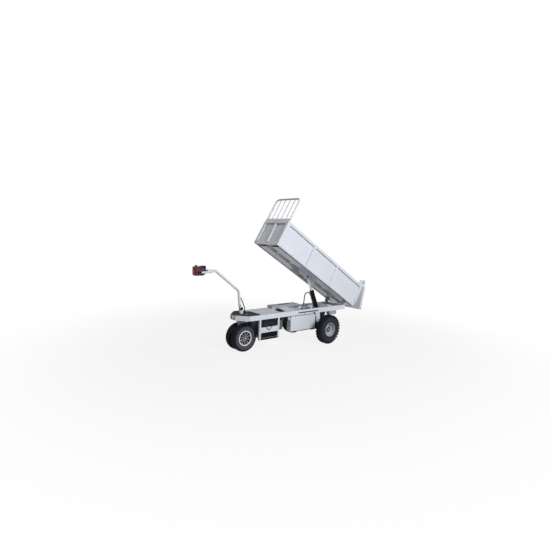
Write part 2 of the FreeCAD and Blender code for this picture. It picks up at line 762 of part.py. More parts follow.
def front_rim(side):
    """Cast rim with paired spokes and a hub bored for the axle."""
    half = FRONT_TYRE_W / 2 - 6
    y = side * FRONT_TRACK_HALF
    z = FRONT_TYRE_R
    barrel = turned(rim_barrel(half, RIM_WALL, FRONT_RIM_R, BEAD_R), WHEELBASE, z, y)
    middle = y + side * (half - 16)
    disc = across(WHEELBASE, z, BEAD_R - RIM_WALL / 2, (middle - 7, middle + 7))
    hub = across(WHEELBASE, z, HUB_R - 6, (y - side * 28, middle + side * 9))
    rim = join(barrel, disc, hub)
    rim = rim.cut(across(WHEELBASE, z, FRONT_AXLE_R + RUNNING, (y - 60, y + 60)))
    inner_r = HUB_R + 2
    outer_r = BEAD_R - 14
    for i in range(SPOKES):
        gap = 26 if i % 2 else 18
        half_angle = math.radians(gap / 2)
        outline = [(inner_r, -inner_r * math.tan(half_angle) * 0.8),
                   (outer_r, -outer_r * math.tan(half_angle)),
                   (outer_r, outer_r * math.tan(half_angle)),
                   (inner_r, inner_r * math.tan(half_angle) * 0.8)]
        window = plate(outline, (middle - 20, middle + 20))
        window.rotate(V(0, 0, 0), V(0, 1, 0), i * 360 / SPOKES)
        window.translate(V(WHEELBASE, 0, z))
        rim = rim.cut(window)
    return rim


# ---- steering -------------------------------------------------------------------------
def steer_post():
    """Post through the deck."""
    base = CHANNEL_BASE - TURNTABLE_THICK
    return Part.makeCylinder(POST_R, POST_TOP - base, V(STEER_X, 0, base))


def post_cap():
    """Slotted cap on the post that holds the tiller's pin."""
    x, z = TILLER_PIN
    height, slope = CAP_HEIGHTS
    foot = Part.makeCylinder(CAP_R, height, V(STEER_X, 0, POST_TOP))
    top = Part.makeCone(CAP_R, CAP_TOP_R, slope, V(STEER_X, 0, POST_TOP + height))
    slot = box((STEER_X - CAP_R, STEER_X + CAP_R), (-CAP_SLOT / 2, CAP_SLOT / 2),
               (POST_TOP + CAP_FLOOR, POST_TOP + height + slope))
    pin = across(x, z, TILLER_PIN_R, (-CAP_R, CAP_R))
    return join(foot.fuse(top).cut(slot), pin)


def fork():
    """Turntable plate, central carrier and gussets between the twin wheels."""
    top = CHANNEL_BASE - 1.0
    base = top - TURNTABLE_THICK
    table = Part.makeCylinder(TURNTABLE_R, TURNTABLE_THICK, V(STEER_X, 0, base))
    table = table.cut(Part.makeCylinder(POST_R + SEAT, TURNTABLE_THICK, V(STEER_X, 0, base)))
    y = (-CARRIER_HALF, CARRIER_HALF)
    z = FRONT_TYRE_R
    carrier = plate([(STEER_X - 70, base), (STEER_X + 70, base), (STEER_X + 40, base - 60),
                     (WHEELBASE + 26, z), (WHEELBASE - 26, z), (STEER_X - 46, base - 60)], y)
    boss = across(WHEELBASE, z, CARRIER_BOSS_R, (-CARRIER_HALF - 3, CARRIER_HALF + 3))
    bore = across(WHEELBASE, z, FRONT_AXLE_R + SEAT, (-60, 60))
    cross = box((STEER_X - 8, STEER_X + 8), (-56, 56), (base - 26, base))
    return join(table, carrier, boss, cross).cut(bore)


def front_axle():
    """Through shaft of the twin wheel."""
    reach = FRONT_TRACK_HALF + FRONT_TYRE_W / 2 - 6
    return across(WHEELBASE, FRONT_TYRE_R, FRONT_AXLE_R, (-reach, reach))


# ---- tiller ---------------------------------------------------------------------------
def tiller_tube():
    """Bent tube on a lug that turns between the post's cheeks, with a fork for the head."""
    points = [(x, 0, z) for x, z in (TILLER_FOOT, TILLER_KNEE, TILLER_NECK, TILLER_END)]
    tube = tube_along(bent_path(points, TILLER_BEND_R), TILLER_TUBE_R)
    x, z = TILLER_PIN
    y = (-14.0, 14.0)
    foot_x, foot_z = TILLER_FOOT
    lug = join(across(x, z, 13, y),
               plate([(x - 10, z), (x + 12, z), (foot_x + 14, foot_z + 20),
                      (foot_x - 14, foot_z + 20)], y))
    arms = []
    for side in (1, -1):
        route = [(FORK_REAR, side * (TILLER_TUBE_R + 6), TILLER_END[1] - 8),
                 (FORK_REAR + 48, side * ARM_Y, COLLAR[1] + 2),
                 (COLLAR[0], side * ARM_Y, COLLAR[1])]
        hub = across(*COLLAR, HEAD_HUB_R, (side * ARM_Y - 20, side * ARM_Y + 20))
        arms.append(tube_along(bent_path(route, FORK_BEND_R), ARM_R).cut(hub))
    bore = across(x, z, TILLER_PIN_R + RUNNING, (-30, 30))
    return join(tube, lug, *arms).cut(bore)


def control_head():
    """Moulded case of the control head."""
    rear, front = HEAD
    low, high = HEAD_Z
    outline = [(rear, low + 22), (rear, high - 3), (rear + 34, high + 8), (rear + 66, high + 6),
               (rear + 80, high - 2), (front, high - 8), (front, low + 4), (front - 8, low),
               (rear + 60, low)]
    return plate(outline, (-HEAD_HALF, HEAD_HALF))


def belly_button():
    """Red reversing button on the front of the head."""
    front = HEAD[1]
    z = (HEAD_Z[0] + 8, HEAD_Z[1] - 12)
    return box((front, front + 10), (-HEAD_HALF + 12, HEAD_HALF - 12), z)


def head_collars():
    """Red discs on both sides of the head."""
    x, z = COLLAR
    left = across(x, z, COLLAR_R, (HEAD_HALF, HEAD_HALF + COLLAR_THICK))
    return both(left)


def head_hubs():
    """Black hubs on the discs that the fork's arms end in."""
    x, z = COLLAR
    return both(across(x, z, HEAD_HUB_R, (HEAD_HALF + COLLAR_THICK, ARM_Y + ARM_R + 2)))


def head_knob():
    """Round knob on top of the head."""
    top = HEAD_Z[1] - 5.4
    stem = rod_between((KNOB_X, 0, top), (KNOB_X, 0, top + 8), 5)
    cap = rod_between((KNOB_X, 0, top + 8), (KNOB_X, 0, top + 20), 14)
    return join(stem, cap)


# ---- bed ------------------------------------------------------------------------------
def bed_floor():
    """Floor sheet on two wide hollow beams, cross members, side plates and the rod's ears."""
    inner = BED_HALF - RIB_DEPTH - BED_SHEET
    front = BED_LENGTH - FRONT_WALL
    sheet = box((0, front), (-inner, inner), (FLOOR_H, FLOOR_H + BED_SHEET))
    low, high = BEAM
    beam = box((0, BEAM_FRONT), BEAM, (0, FLOOR_H))
    hollow = box((RIB_WIDTH, BEAM_FRONT), (low + BEAM_WALL, high - BEAM_WALL),
                 (BEAM_WALL, FLOOR_H - BEAM_WALL))
    members = [box((s, s + RIB_WIDTH), (-inner, inner), (12, FLOOR_H)) for s in BED_CROSS]
    members.append(box((0, RIB_WIDTH), (-inner, inner), (0, FLOOR_H)))
    plates = [side_plate(), mirrored(side_plate())]
    floor = join(sheet, beam, mirrored(beam), *members, *plates, *rod_ears())
    return on_bed(floor.cut(hollow).cut(mirrored(hollow)).removeSplitter())


def side_plate():
    """Long plate under the left beam with a round hole."""
    rear, front = SIDE_PLATE
    low = -SIDE_PLATE_DROP
    y = (SIDE_PLATE_Y, SIDE_PLATE_Y + EAR_THICK)
    shape = plate([(rear, BEAM_WALL), (front, BEAM_WALL), (front, low / 3), (front - 40, low),
                   (rear + 14, low), (rear, low + 14)], y)
    return shape.cut(across(*SIDE_PLATE_HOLE, SIDE_PLATE_HOLE_R, y))


def bed_side(side):
    """Side wall: sheet with a band, top rail, end posts and ribs standing out of it."""
    outer = BED_HALF
    skin = outer - RIB_DEPTH
    top = BED_HEIGHT - TOP_RAIL[0]
    front = BED_LENGTH - FRONT_WALL
    wall = join(
        box((0, front), (skin - BED_SHEET, skin), (0, BED_HEIGHT - 1)),
        box((0, front), (skin, outer), (0, BOTTOM_BAND)),
        box((0, front), (outer - TOP_RAIL[1], outer), (top, BED_HEIGHT)),
        box((0, REAR_POST), (skin, outer), (0, BED_HEIGHT)),
        box((front - FRONT_POST, front), (skin, outer), (0, BED_HEIGHT)),
        *[box((edge - RIB_WIDTH, edge), (skin, outer), (0, BED_HEIGHT)) for edge in RIB_FRONTS])
    return on_bed(wall if side > 0 else mirrored(wall))


def bed_front_wall():
    """Front wall: posts, rails and a middle rib round two set-back panels."""
    rear = BED_LENGTH - FRONT_WALL
    front = BED_LENGTH
    half = BED_HALF
    post = 46.0
    skin = (front - RIB_DEPTH - BED_SHEET, front - RIB_DEPTH)
    wall = join(
        box(skin, (-half + 1, half - 1), (0, BED_HEIGHT - 1)),
        box((rear, front), (-half, half), (BED_HEIGHT - TOP_RAIL[0], BED_HEIGHT)),
        box((rear, front - HEADER_STEP), (-half, half), (BED_HEIGHT, BED_HEIGHT + FRONT_RISE)),
        box((rear, front), (-half, half), (0, FLOOR_H)),
        box((rear, front), (half - post, half), (0, BED_HEIGHT)),
        box((rear, front), (-half, -half + post), (0, BED_HEIGHT)),
        box((skin[1], front), (-RIB_WIDTH / 2, RIB_WIDTH / 2), (0, BED_HEIGHT)))
    return on_bed(wall)


def load_grille():
    """Bent tube hoop with upright bars above the front wall."""
    s = BED_LENGTH - (FRONT_WALL + HEADER_STEP) / 2
    top = BED_HEIGHT + GRILLE_RISE
    base = BED_HEIGHT + FRONT_RISE
    leg = GRILLE_LEG_Y
    points = [(s, leg, base), (s, leg, top), (s, -leg, top), (s, -leg, base)]
    hoop = tube_along(bent_path(points, GRILLE_CORNER_R), GRILLE_LEG_R)
    bars = [rod_between((s, y, base), (s, y, top), GRILLE_BAR_R) for y in GRILLE_BARS]
    return on_bed(join(hoop, *bars))


def bed_hinges():
    """Ears under the beams that turn on the frame's hinge pins."""
    y = (HINGE_Y - 7, HINGE_Y + 7)
    s = BED_HINGE_S
    drop = -BED_HINGE_DROP
    ear = join(plate([(s - 50, 0), (s + 50, 0), (s + HINGE_EAR_R, drop), (s - HINGE_EAR_R, drop)], y),
               across(s, drop, HINGE_EAR_R, y))
    ear = ear.cut(across(s, drop, HINGE_PIN_R + RUNNING, y))
    return on_bed(both(ear))


def rod_ears():
    """Ears under the floor on either side of the cylinder rod's eye."""
    inner = EYE_HALF + EAR_GAP
    rear, front = ROD_EAR
    low = -ROD_EAR_DROP
    ears = []
    for side in (1, -1):
        y = (side * inner, side * (inner + EAR_THICK))
        ears.append(plate([(rear, FLOOR_H), (front, FLOOR_H), (front, low / 3),
                           (front - 24, low), (rear + 24, low), (rear, low / 3)], y))
    return ears


def gate_lugs():
    """Plates standing on the rear corners of the bed with the tailgate's pins."""
    y = (BED_HALF - 12, BED_HALF)
    s, h = GATE_PIN_S, GATE_PIN_H
    lug = plate([(0, BED_HEIGHT), (s + 88, BED_HEIGHT), (s + 85, h + 2), (s - 6, h + 52),
                 (s - 42, h + 40), (s - 52, h)], y)
    pin = across(s, h, GATE_PIN_R, (y[0] - GATE_EAR - 2 * SIDE_PLAY, y[1] + 3))
    return on_bed(both(join(lug, pin)))


# ---- tailgate -------------------------------------------------------------------------
def tailgate():
    """Ribbed panel with ears that hang on the bed's pins."""
    inner = -GATE_OFFSET
    outer = inner - GATE_THICK
    half = BED_HALF
    frame = 36.0
    skin = (inner - BED_SHEET, inner)
    top, bottom = -GATE_TOP, -GATE_BOTTOM
    panel = join(
        box(skin, (-half, half), (bottom, top)),
        box((inner, outer), (-half, half), (bottom, bottom + frame)),
        box((inner, outer), (-half, half), (top - frame, top)),
        box((inner, outer), (half - frame, half), (bottom, top)),
        box((inner, outer), (-half, -half + frame), (bottom, top)),
        box((inner, outer), (-RIB_WIDTH / 2, RIB_WIDTH / 2), (bottom, top)))
    return on_gate(panel)


def gate_ears():
    """Ears from the tailgate's top up to the pins."""
    inner = BED_HALF - 12 - SIDE_PLAY
    y = (inner - GATE_EAR, inner)
    front = -GATE_OFFSET
    rear = front - GATE_THICK
    arm = plate([(-4, -GATE_EAR_R), (-GATE_EAR_R, 10), (rear, -GATE_TOP + 24),
                 (rear, -GATE_TOP), (front - 10, -GATE_TOP)], y)
    ear = join(arm, across(0, 0, GATE_EAR_R, y)).cut(across(0, 0, GATE_PIN_R + RUNNING, y))
    return on_gate(both(ear))


# ---- tipping cylinder -----------------------------------------------------------------
def cylinder_barrel():
    """Barrel with its base eye and gland."""
    tube = rod_between((BARREL_FOOT, 0, 0), (BARREL_LENGTH, 0, 0), BARREL_R)
    neck = rod_between((0, 0, 0), (BARREL_FOOT, 0, 0), BARREL_NECK_R)
    eye = across(0, 0, BASE_EYE_R, (-EYE_HALF, EYE_HALF))
    bores = across(0, 0, BASE_PIN_R + RUNNING, (-60, 60))
    well = rod_between((BARREL_FLOOR, 0, 0), (BARREL_LENGTH, 0, 0), ROD_R + RUNNING)
    return on_cylinder(join(tube, neck, eye).cut(bores).cut(well))


def cylinder_rod():
    """Rod with its eye and the stub pin that stands between the bed's ears."""
    span = CYLINDER_SPAN
    rod = rod_between((ROD_FOOT, 0, 0), (span, 0, 0), ROD_R)
    eye = across(span, 0, EYE_R, (-EYE_HALF, EYE_HALF))
    reach = EYE_HALF + EAR_GAP - 4
    pin = across(span, 0, EYE_PIN_R, (-reach, reach))
    return on_cylinder(join(rod, eye, pin))


PIPE_R = 5.0


def cylinder_pipe():
    """Steel pipe along the barrel."""
    z = -(BARREL_R + PIPE_R + SEAT)
    return on_cylinder(rod_between((90, 0, z), (BARREL_LENGTH - 14, 0, z), PIPE_R))


# ---- hose and conduit -----------------------------------------------------------------
HOSE_R = 7.5
HOSE_POINTS = [(299.7, 12, 468), (247.7, 12, 468), (209.4, 12, 479.7), (179.7, 12, 506.5),
               (162.5, 12, 547), (154.4, 12, 598), (150.9, 12, 648), (146.2, 12, 682),
               (129, 12, 706.4), (102.5, 12, 720.5), (72.5, 12, 720.5), (46, 12, 706.4),
               (26, 12, 679), (3.3, 12, 634), (-20.4, 12, 584), (-38, 12, 537),
               (-50, 12, 497), (-70, 10, 462), (-100.9, 6.1, 449.6)]
CABLE_R = 6.0
CABLE_OUTER = [(791, 180, 402), (768, 180, 402), (738, 180, 383), (705, 179, 368),
               (668, 177, 363), (634, 176, 368), (602, 175, 382), (578, 175, 382)]
CABLE_INNER = [(803, 150, 402), (778, 150, 402), (745, 152, 396), (705, 154, 393),
               (662, 155, 395), (620, 156, 400), (578, 156, 400)]
GLAND_R = 13.0
GLAND_HEIGHT = 12.0
GLAND_X = STEER_X - 62.0
CONDUIT_R = 6.5
CONDUIT_LOWER = [(GLAND_X, 0, 519), (GLAND_X, 0, 548), (GLAND_X + 5, 0, 578),
                 (GLAND_X + 16, 0, 608), (GLAND_X + 30, 0, 638)]
CONDUIT_UPPER = [(GLAND_X + 30, 0, 638), (GLAND_X + 44, 0, 668), (GLAND_X + 57, 0, 694),
                 (GLAND_X + 68, 0, 713), (GLAND_X + 76, 0, 728)]


def deck_gland():
    """Round gland that the conduit leaves the deck through."""
    base = DECK_TOP + MAT_THICK
    return Part.makeCylinder(GLAND_R, GLAND_HEIGHT, V(GLAND_X, 0, base))


def cord(name, points, radius):
    """Save one cord and print its tightest bend and its volume against its length."""
    path, radii = cord_path(points)
    shape = tube_along(path, radius)
    ratio = shape.Volume / (math.pi * radius ** 2 * path.Length)
    print(name, "length", round(path.Length), "least radius", round(min(radii)),
          "volume ratio", round(ratio, 4))
    save(name, shape)


def main():
    os.makedirs("parts", exist_ok=True)
    save("chassis_frame", chassis_frame())
    save("deck_plate", deck_plate())
    save("deck_mat", deck_mat())
    save("mat_strip", mat_strip())
    save("deck_gland", deck_gland())
    save("side_cover", side_cover())
    save("steer_housing", steer_housing())
    save("lamp_red", lamp_half((LAMP_Y[0], LAMP_SPLIT)))
    save("lamp_clear", lamp_half((LAMP_SPLIT, LAMP_Y[1])))
    save("battery_frame", battery_frame())
    save("battery_guards", battery_guards())
    save("batteries", batteries())
    save("side_box", side_box())
    save("pump_box", pump_box())
    save("controller", controller())
    save("pump_frame", pump_frame())
    save("axle_hangers", axle_hangers())
    save("axle_gussets", axle_gussets())
    save("rear_brackets", rear_brackets())
    save("axle_beam", axle_beam())
    save("drive_motor", drive_motor())
    save("hinge_lugs", hinge_lugs())
    save("cylinder_base", cylinder_base())
    for name, side in (("left", 1), ("right", -1)):
        save("rear_tyre_" + name, rear_tyre(side))
        save("rear_rim_" + name, rear_wheel_rim(side))
        save("bed_side_" + name, bed_side(side))
    save("front_tyres", Part.makeCompound([front_tyre(1), front_tyre(-1)]))
    save("front_rims", Part.makeCompound([front_rim(1), front_rim(-1)]))
    save("steer_post", steer_post())
    save("post_cap", post_cap())
    save("fork", fork())
    save("front_axle", front_axle())
    save("tiller_tube", tiller_tube())
    save("control_head", control_head())
    save("belly_button", belly_button())
    save("head_collars", head_collars())
    save("head_hubs", head_hubs())
    save("head_knob", head_knob())
    save("bed_floor", bed_floor())
    save("bed_front_wall", bed_front_wall())
    save("load_grille", load_grille())
    save("bed_hinges", bed_hinges())
    save("gate_lugs", gate_lugs())
    save("tailgate", tailgate())
    save("gate_ears", gate_ears())
    save("cylinder_barrel", cylinder_barrel())
    save("cylinder_rod", cylinder_rod())
    save("cylinder_pipe", cylinder_pipe())
    cord("tipping_hose", HOSE_POINTS, HOSE_R)
    cord("battery_cable_outer", CABLE_OUTER, CABLE_R)
    cord("battery_cable_inner", CABLE_INNER, CABLE_R)
    cord("conduit_lower", CONDUIT_LOWER, CONDUIT_R)
    cord("conduit_upper", CONDUIT_UPPER, CONDUIT_R)


main()
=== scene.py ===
"""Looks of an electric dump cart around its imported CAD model.

Metres, in the CAD frame: +X forward, +Y left, +Z up.  Places along the cart are written in
millimetres from the rear axle, and places on the bed, the tailgate and the cylinder in their
own lengths, as they are in the CAD source.
"""

import json
import math

import bpy
from bpy.props import FloatProperty, PointerProperty, StringProperty
from mathutils import Matrix, Vector


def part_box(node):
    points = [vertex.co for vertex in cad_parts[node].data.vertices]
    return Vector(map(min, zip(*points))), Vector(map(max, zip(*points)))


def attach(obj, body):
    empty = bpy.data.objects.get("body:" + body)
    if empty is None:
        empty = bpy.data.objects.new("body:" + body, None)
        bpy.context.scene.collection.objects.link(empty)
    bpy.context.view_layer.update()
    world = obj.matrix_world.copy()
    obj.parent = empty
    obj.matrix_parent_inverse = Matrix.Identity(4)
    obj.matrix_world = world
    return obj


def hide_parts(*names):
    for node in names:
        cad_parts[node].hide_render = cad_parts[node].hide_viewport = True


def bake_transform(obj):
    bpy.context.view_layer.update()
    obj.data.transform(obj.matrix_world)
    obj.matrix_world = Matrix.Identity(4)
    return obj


bl_info = {
    "name": "Electric Dump Cart",
    "version": (1, 0, 0),
    "blender": (4, 5, 0),
    "location": "View3D > Sidebar > Dump Cart",
    "description": "Dresses the packed dump cart with its finishes and fittings",
    "category": "Object",
}

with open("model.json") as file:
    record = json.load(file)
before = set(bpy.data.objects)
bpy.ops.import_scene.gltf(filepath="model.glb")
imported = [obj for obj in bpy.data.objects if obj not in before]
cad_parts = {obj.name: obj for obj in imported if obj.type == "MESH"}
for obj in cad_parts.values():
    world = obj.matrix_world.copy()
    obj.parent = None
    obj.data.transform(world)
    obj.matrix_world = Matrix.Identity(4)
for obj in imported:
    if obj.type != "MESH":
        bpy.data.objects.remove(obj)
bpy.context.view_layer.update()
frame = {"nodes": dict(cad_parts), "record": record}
NODES = frame["nodes"]
NODE_SLOT = {part["node"]: part["material_slot"] for part in frame["record"]["subparts"]}

# ---- places taken over from the CAD source ----
REAR_AXLE_X = -0.513  # in metres, the others are in millimetres
REAR_AXLE_Z = 216
STEER_X = 1312.0
DECK_TOP, MAT_TOP, COVER_TOP = 503, 507, 543
HEAD_FACE = 35  # from the middle to the head's flat sides
BED_HINGE = (-550.0, 530.0)
BED_HINGE_S = 187.2  # from the bed's rear end to its hinge
BED_HINGE_DROP = 41.1  # from the bed's zero height down to its hinge
BED_TILT = math.radians(30.6)
BED_FRONT = 1941.0
BED_SIDE = 263.0
GATE_PIN = (24.0, 430.0)
GATE_LEAN = math.radians(12.9)
CYLINDER_BASE = (-165.0, 400.0)
CYLINDER_RISE = math.radians(65.32)

AHEAD, LEFT, UP = (1, 0, 0), (0, 1, 0), (0, 0, 1)
SIDES = (("left", 1), ("right", -1))


def mm(*values):
    """Millimetres as a vector in metres."""
    return Vector(values) / 1000


def at(x, y, z):
    """A place given in millimetres from the rear axle, in the saved frame."""
    return mm(x, y, z) + Vector((REAR_AXLE_X, 0, 0))


def leaning(x, z, angle):
    """A frame at a place in millimetres, raised by an angle from the cart's length."""
    return Matrix.Translation(at(x, 0, z)) @ Matrix.Rotation(-angle, 4, "Y")


BED_PLACE = (leaning(*BED_HINGE, BED_TILT)
             @ Matrix.Translation(mm(-BED_HINGE_S, 0, BED_HINGE_DROP)))
FROM_AXLE = Matrix.Translation((REAR_AXLE_X, 0, 0))
# The frame in which a body's pieces are written, where it isn't FROM_AXLE.  The wheels'
# is the saved frame, because they are built on the boxes of their CAD nodes.
WHERE = {"bed": BED_PLACE,
         "tailgate": (Matrix.Translation(BED_PLACE @ mm(GATE_PIN[0], 0, GATE_PIN[1]))
                      @ Matrix.Rotation(-GATE_LEAN, 4, "Y")),
         "cylinder_barrel": leaning(*CYLINDER_BASE, CYLINDER_RISE),
         "rear_wheel_left": Matrix(), "rear_wheel_right": Matrix(), "front_wheels": Matrix()}


# ---- sizes and colours that can be changed ----
class CartColours(bpy.types.PropertyGroup):
    """sRGB colours of the finishes."""
    body: StringProperty(
        name="Body paint", default="#cfd4dc",
        description="Silver-white powder coat of frame and bed")
    grey: StringProperty(
        name="Grey paint", default="#a9abb0",
        description="Grey coat of brackets, covers and hinges")
    black: StringProperty(
        name="Black paint", default="#090d16",
        description="Satin black coat of grids, motor and barrel")
    tyre: StringProperty(name="Tyre rubber", default="#0f1520", description="Tread rubber")
    sidewall: StringProperty(
        name="Sidewall", default="#44454f",
        description="Dusty sidewall rubber of the front tyres")
    mat: StringProperty(name="Mat", default="#31343d", description="Rubber mat on the nose")
    red: StringProperty(
        name="Red plastic", default="#b3202c",
        description="Belly plate and discs of the head, battery caps")
    plastic: StringProperty(
        name="Black plastic", default="#10131a",
        description="Moulded case of the control head")
    alloy: StringProperty(
        name="Rim alloy", default="#e6e8ec", description="Cast alloy of the front rims")
    steel: StringProperty(
        name="Rim steel", default="#b6b5ba", description="Silver coat of the rear rims")


class CartSizes(bpy.types.PropertyGroup):
    """Sizes of the fittings."""
    bolt: FloatProperty(
        name="Bolt head", description="Width across the flats of the common bolts",
        default=0.017, unit="LENGTH", subtype="DISTANCE")
    lug_round: FloatProperty(
        name="Tread edge", description="Rounding of the rear tyres' blocks", default=0.003,
        unit="LENGTH", subtype="DISTANCE")


def sizes():
    return bpy.context.scene.cart_sizes


# ---- modelling ----
WASHER = 0.0016  # thickness in metres of the washer under a bolt
MERGE = 2e-5  # metres within which the points of a turned piece are made one


def clear():
    """Object mode with nothing selected."""
    if bpy.context.object and bpy.context.object.mode != "OBJECT":
        bpy.ops.object.mode_set(mode="OBJECT")
    bpy.ops.object.select_all(action="DESELECT")


def named(name):
    """The active object under a new name."""
    piece = bpy.context.object
    piece.name = name
    return piece


def placed(name, data):
    """A new object in the scene for data of any kind."""
    made = bpy.data.objects.new(name, data)
    bpy.context.scene.collection.objects.link(made)
    return made


def only(piece):
    """Select the piece alone and make it the active one."""
    clear()
    piece.select_set(True)
    bpy.context.view_layer.objects.active = piece


def select_mesh():
    """Select all of the mesh being edited."""
    bpy.ops.mesh.select_all(action="SELECT")


def settle(piece):
    """Put the piece's place into its mesh."""
    only(piece)
    bpy.ops.object.transform_apply()
    return piece


def rounded(piece, width, segments=2, angle=32):
    """Round the edges sharper than the angle."""
    only(piece)
    bevel = piece.modifiers.new("Bevel", "BEVEL")
    bevel.width = width
    bevel.segments = segments
    bevel.limit_method = "ANGLE"
    bevel.angle_limit = math.radians(angle)
    bpy.ops.object.modifier_apply(modifier=bevel.name)
    return piece


def sketch(name, points):
    """A line through the points and back to the first, left in edit mode."""
    clear()
    bpy.ops.mesh.primitive_plane_add(size=0.01)
    piece = named(name)
    bpy.ops.object.mode_set(mode="EDIT")
    select_mesh()
    bpy.ops.mesh.merge(type="CENTER")
    bpy.ops.transform.translate(value=points[0])
    for before, after in zip(points, points[1:] + points[:1]):
        bpy.ops.mesh.extrude_region_move(TRANSFORM_OT_translate={"value": after - before})
    return piece


def closed(piece):
    """Turn the faces of the edited piece outwards and leave edit mode."""
    select_mesh()
    bpy.ops.mesh.normals_make_consistent()
    bpy.ops.object.mode_set(mode="OBJECT")
    return settle(piece)


def spun(name, profile, centre, steps, axis=LEFT, facing=1):
    """A turned piece: a section of (radius, offset along the axis) in millimetres spun
    about the axis through a centre in metres; facing -1 counts the offsets backwards."""
    axis = Vector(axis).normalized()
    out = axis.orthogonal().normalized()
    points = [centre + out * (r / 1000) + axis * (facing * o / 1000) for r, o in profile]
    piece = sketch(name, points)
    select_mesh()
    bpy.ops.mesh.spin(steps=steps, angle=math.tau, center=centre, axis=axis)
    select_mesh()
    bpy.ops.mesh.remove_doubles(threshold=MERGE)
    return closed(piece)


def plate(name, outline, through):
    """A flat piece: an outline of vectors in metres, extruded by a vector."""
    piece = sketch(name, outline)
    select_mesh()
    bpy.ops.mesh.edge_face_add()
    bpy.ops.mesh.extrude_region_move(TRANSFORM_OT_translate={"value": through})
    return closed(piece)


def block(name, x, y, z, edge=0.002, segments=2):
    """A rounded block between a low and a high end in millimetres on each axis."""
    clear()
    centre = mm(*[(low + high) / 2 for low, high in (x, y, z)])
    reach = mm(*[high - low for low, high in (x, y, z)])
    bpy.ops.mesh.primitive_cube_add(size=1, location=centre, scale=reach)
    return rounded(settle(named(name)), min(edge, min(reach) * 0.45), segments)


def prism(name, centre, run, depth, radius, sides, edge, segments=2):
    """A round or many-sided piece along a direction, all in metres, with softened edges."""
    clear()
    turn = run.to_track_quat("Z", "Y").to_euler()
    bpy.ops.mesh.primitive_cylinder_add(vertices=sides, radius=radius, depth=depth,
                                        location=centre, rotation=turn)
    return rounded(settle(named(name)), edge, segments, 50)


def bar(name, a, b, radius, sides=28, edge=0.0012):
    """A round bar between two places in millimetres with softened ends."""
    start, end = mm(*a), mm(*b)
    run = end - start
    return prism(name, (start + end) / 2, run, run.length, radius / 1000, sides, edge)


def bolt(name, place, direction, width):
    """A hexagon head on a washer, seated at a place and pointing along a direction; its
    height, corners and washer are shares of its width."""
    run = Vector(direction).normalized()
    place = mm(*place)
    height = width * 0.42
    washer = prism("washer", place + run * (WASHER / 2), run, WASHER, width * 0.66, 24,
                   0.0004, 1)
    head = prism("head", place + run * (WASHER + height / 2), run, height, width * 0.577, 6,
                 width * 0.05)
    return joined(name, [washer, head])


def joined(name, parts):
    """One piece from several."""
    clear()
    for part in parts:
        part.select_set(True)
    bpy.context.view_layer.objects.active = parts[0]
    bpy.ops.object.join()
    return named(name)


def copied(piece, matrix):
    """A copy with its own mesh, moved by a matrix."""
    only(piece)
    bpy.ops.object.duplicate()
    twin = bpy.context.object
    twin.matrix_world = matrix @ twin.matrix_world
    return settle(twin)


def turned(piece, centre, angle, axis):
    """Turn the piece about an axis through a centre in metres."""
    piece.matrix_world = (Matrix.Translation(centre) @ Matrix.Rotation(angle, 4, axis)
                          @ Matrix.Translation(-centre))
    return settle(piece)


def ring_of(piece, centre, count):
    """The piece repeated in a full turn round a wheel's centre in metres."""
    only(piece)
    bpy.ops.object.mode_set(mode="EDIT")
    select_mesh()
    bpy.ops.mesh.spin(steps=count - 1, dupli=True, angle=math.tau * (count - 1) / count,
                      center=centre, axis=LEFT)
    bpy.ops.object.mode_set(mode="OBJECT")
    return piece


def pair(piece):
    """The piece and its mirror image across the cart's middle as one piece."""
    twin = copied(piece, Matrix.Scale(-1, 4, Vector(LEFT)))
    bpy.ops.object.mode_set(mode="EDIT")
    return joined(piece.name, [piece, closed(twin)])


def circle(count, radius, start=0.0):
    """Places spread evenly on a circle, as pairs across and up."""
    turns = [start + i * math.tau / count for i in range(count)]
    return [(radius * math.cos(turn), radius * math.sin(turn)) for turn in turns]


def rounded_slot(count, half, radius):
    """Outline of a slot with round ends, as pairs across and up from its middle."""
    return [(x + math.copysign(half, x), up) for x, up in circle(count, radius)]


def fit(piece, slot, body="chassis", finish=None, smooth=35, replaces=None, where=None):
    """Carry a finished piece from its body's frame, or from that of another body, to its
    place, give it a finish and fix it to its body."""
    piece.matrix_world = WHERE.get(where or body, FROM_AXLE) @ piece.matrix_world
    settle(piece)
    piece.data.materials.append(FINISHES[finish or SLOT_FINISH[slot]])
    bpy.ops.object.shade_smooth_by_angle(angle=math.radians(smooth))
    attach(piece, body)
    if replaces:
        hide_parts(replaces)


def bolts(name, places, direction, body="chassis", width=None, finish=None):
    """One bolt modelled and copied to every place, in millimetres in its body's frame."""
    first = bolt(name, (0, 0, 0), direction, width or sizes().bolt)
    parts = [copied(first, Matrix.Translation(mm(*place))) for place in places]
    bpy.data.objects.remove(first, do_unlink=True)
    fit(joined(name, parts), "bright_steel", body, finish)


# ---- materials ----
FINISHES = {}
DUST_ENDS = (0.45, 0.02)  # heights in metres where the dust begins and is thickest
NOISE_ENDS = (0.3, 0.7)  # lowest and highest value of the noise that makes the patches
WAVE = math.tau / 20  # length in metres of one wave of the wave texture at scale 1
FLUTE = 0.00748  # width in metres of one flute of the lamp's lenses
SLOT_FINISH = {
    "frame_paint": "body", "bed_paint": "body", "grey_paint": "grey", "black_paint": "black",
    "mat_rubber": "mat", "tyre_rubber": "tyre", "hose_rubber": "hose",
    "black_plastic": "plastic", "red_plastic": "red", "clear_plastic": "lens_clear",
    "battery_case": "battery", "rim_alloy": "alloy", "rim_steel": "steel",
    "bright_steel": "zinc", "chrome_rod": "chrome", "cast_metal": "cast"}
# The controller's dark grey is partly painted shade, standing in for the shade in the deck's
# well.
NODE_FINISH = {"lamp_red": "lens_red", "deck_plate": "body", "axle_gussets": "body",
               "controller": "controller_grey_and_well_shade", "fork": "body"}


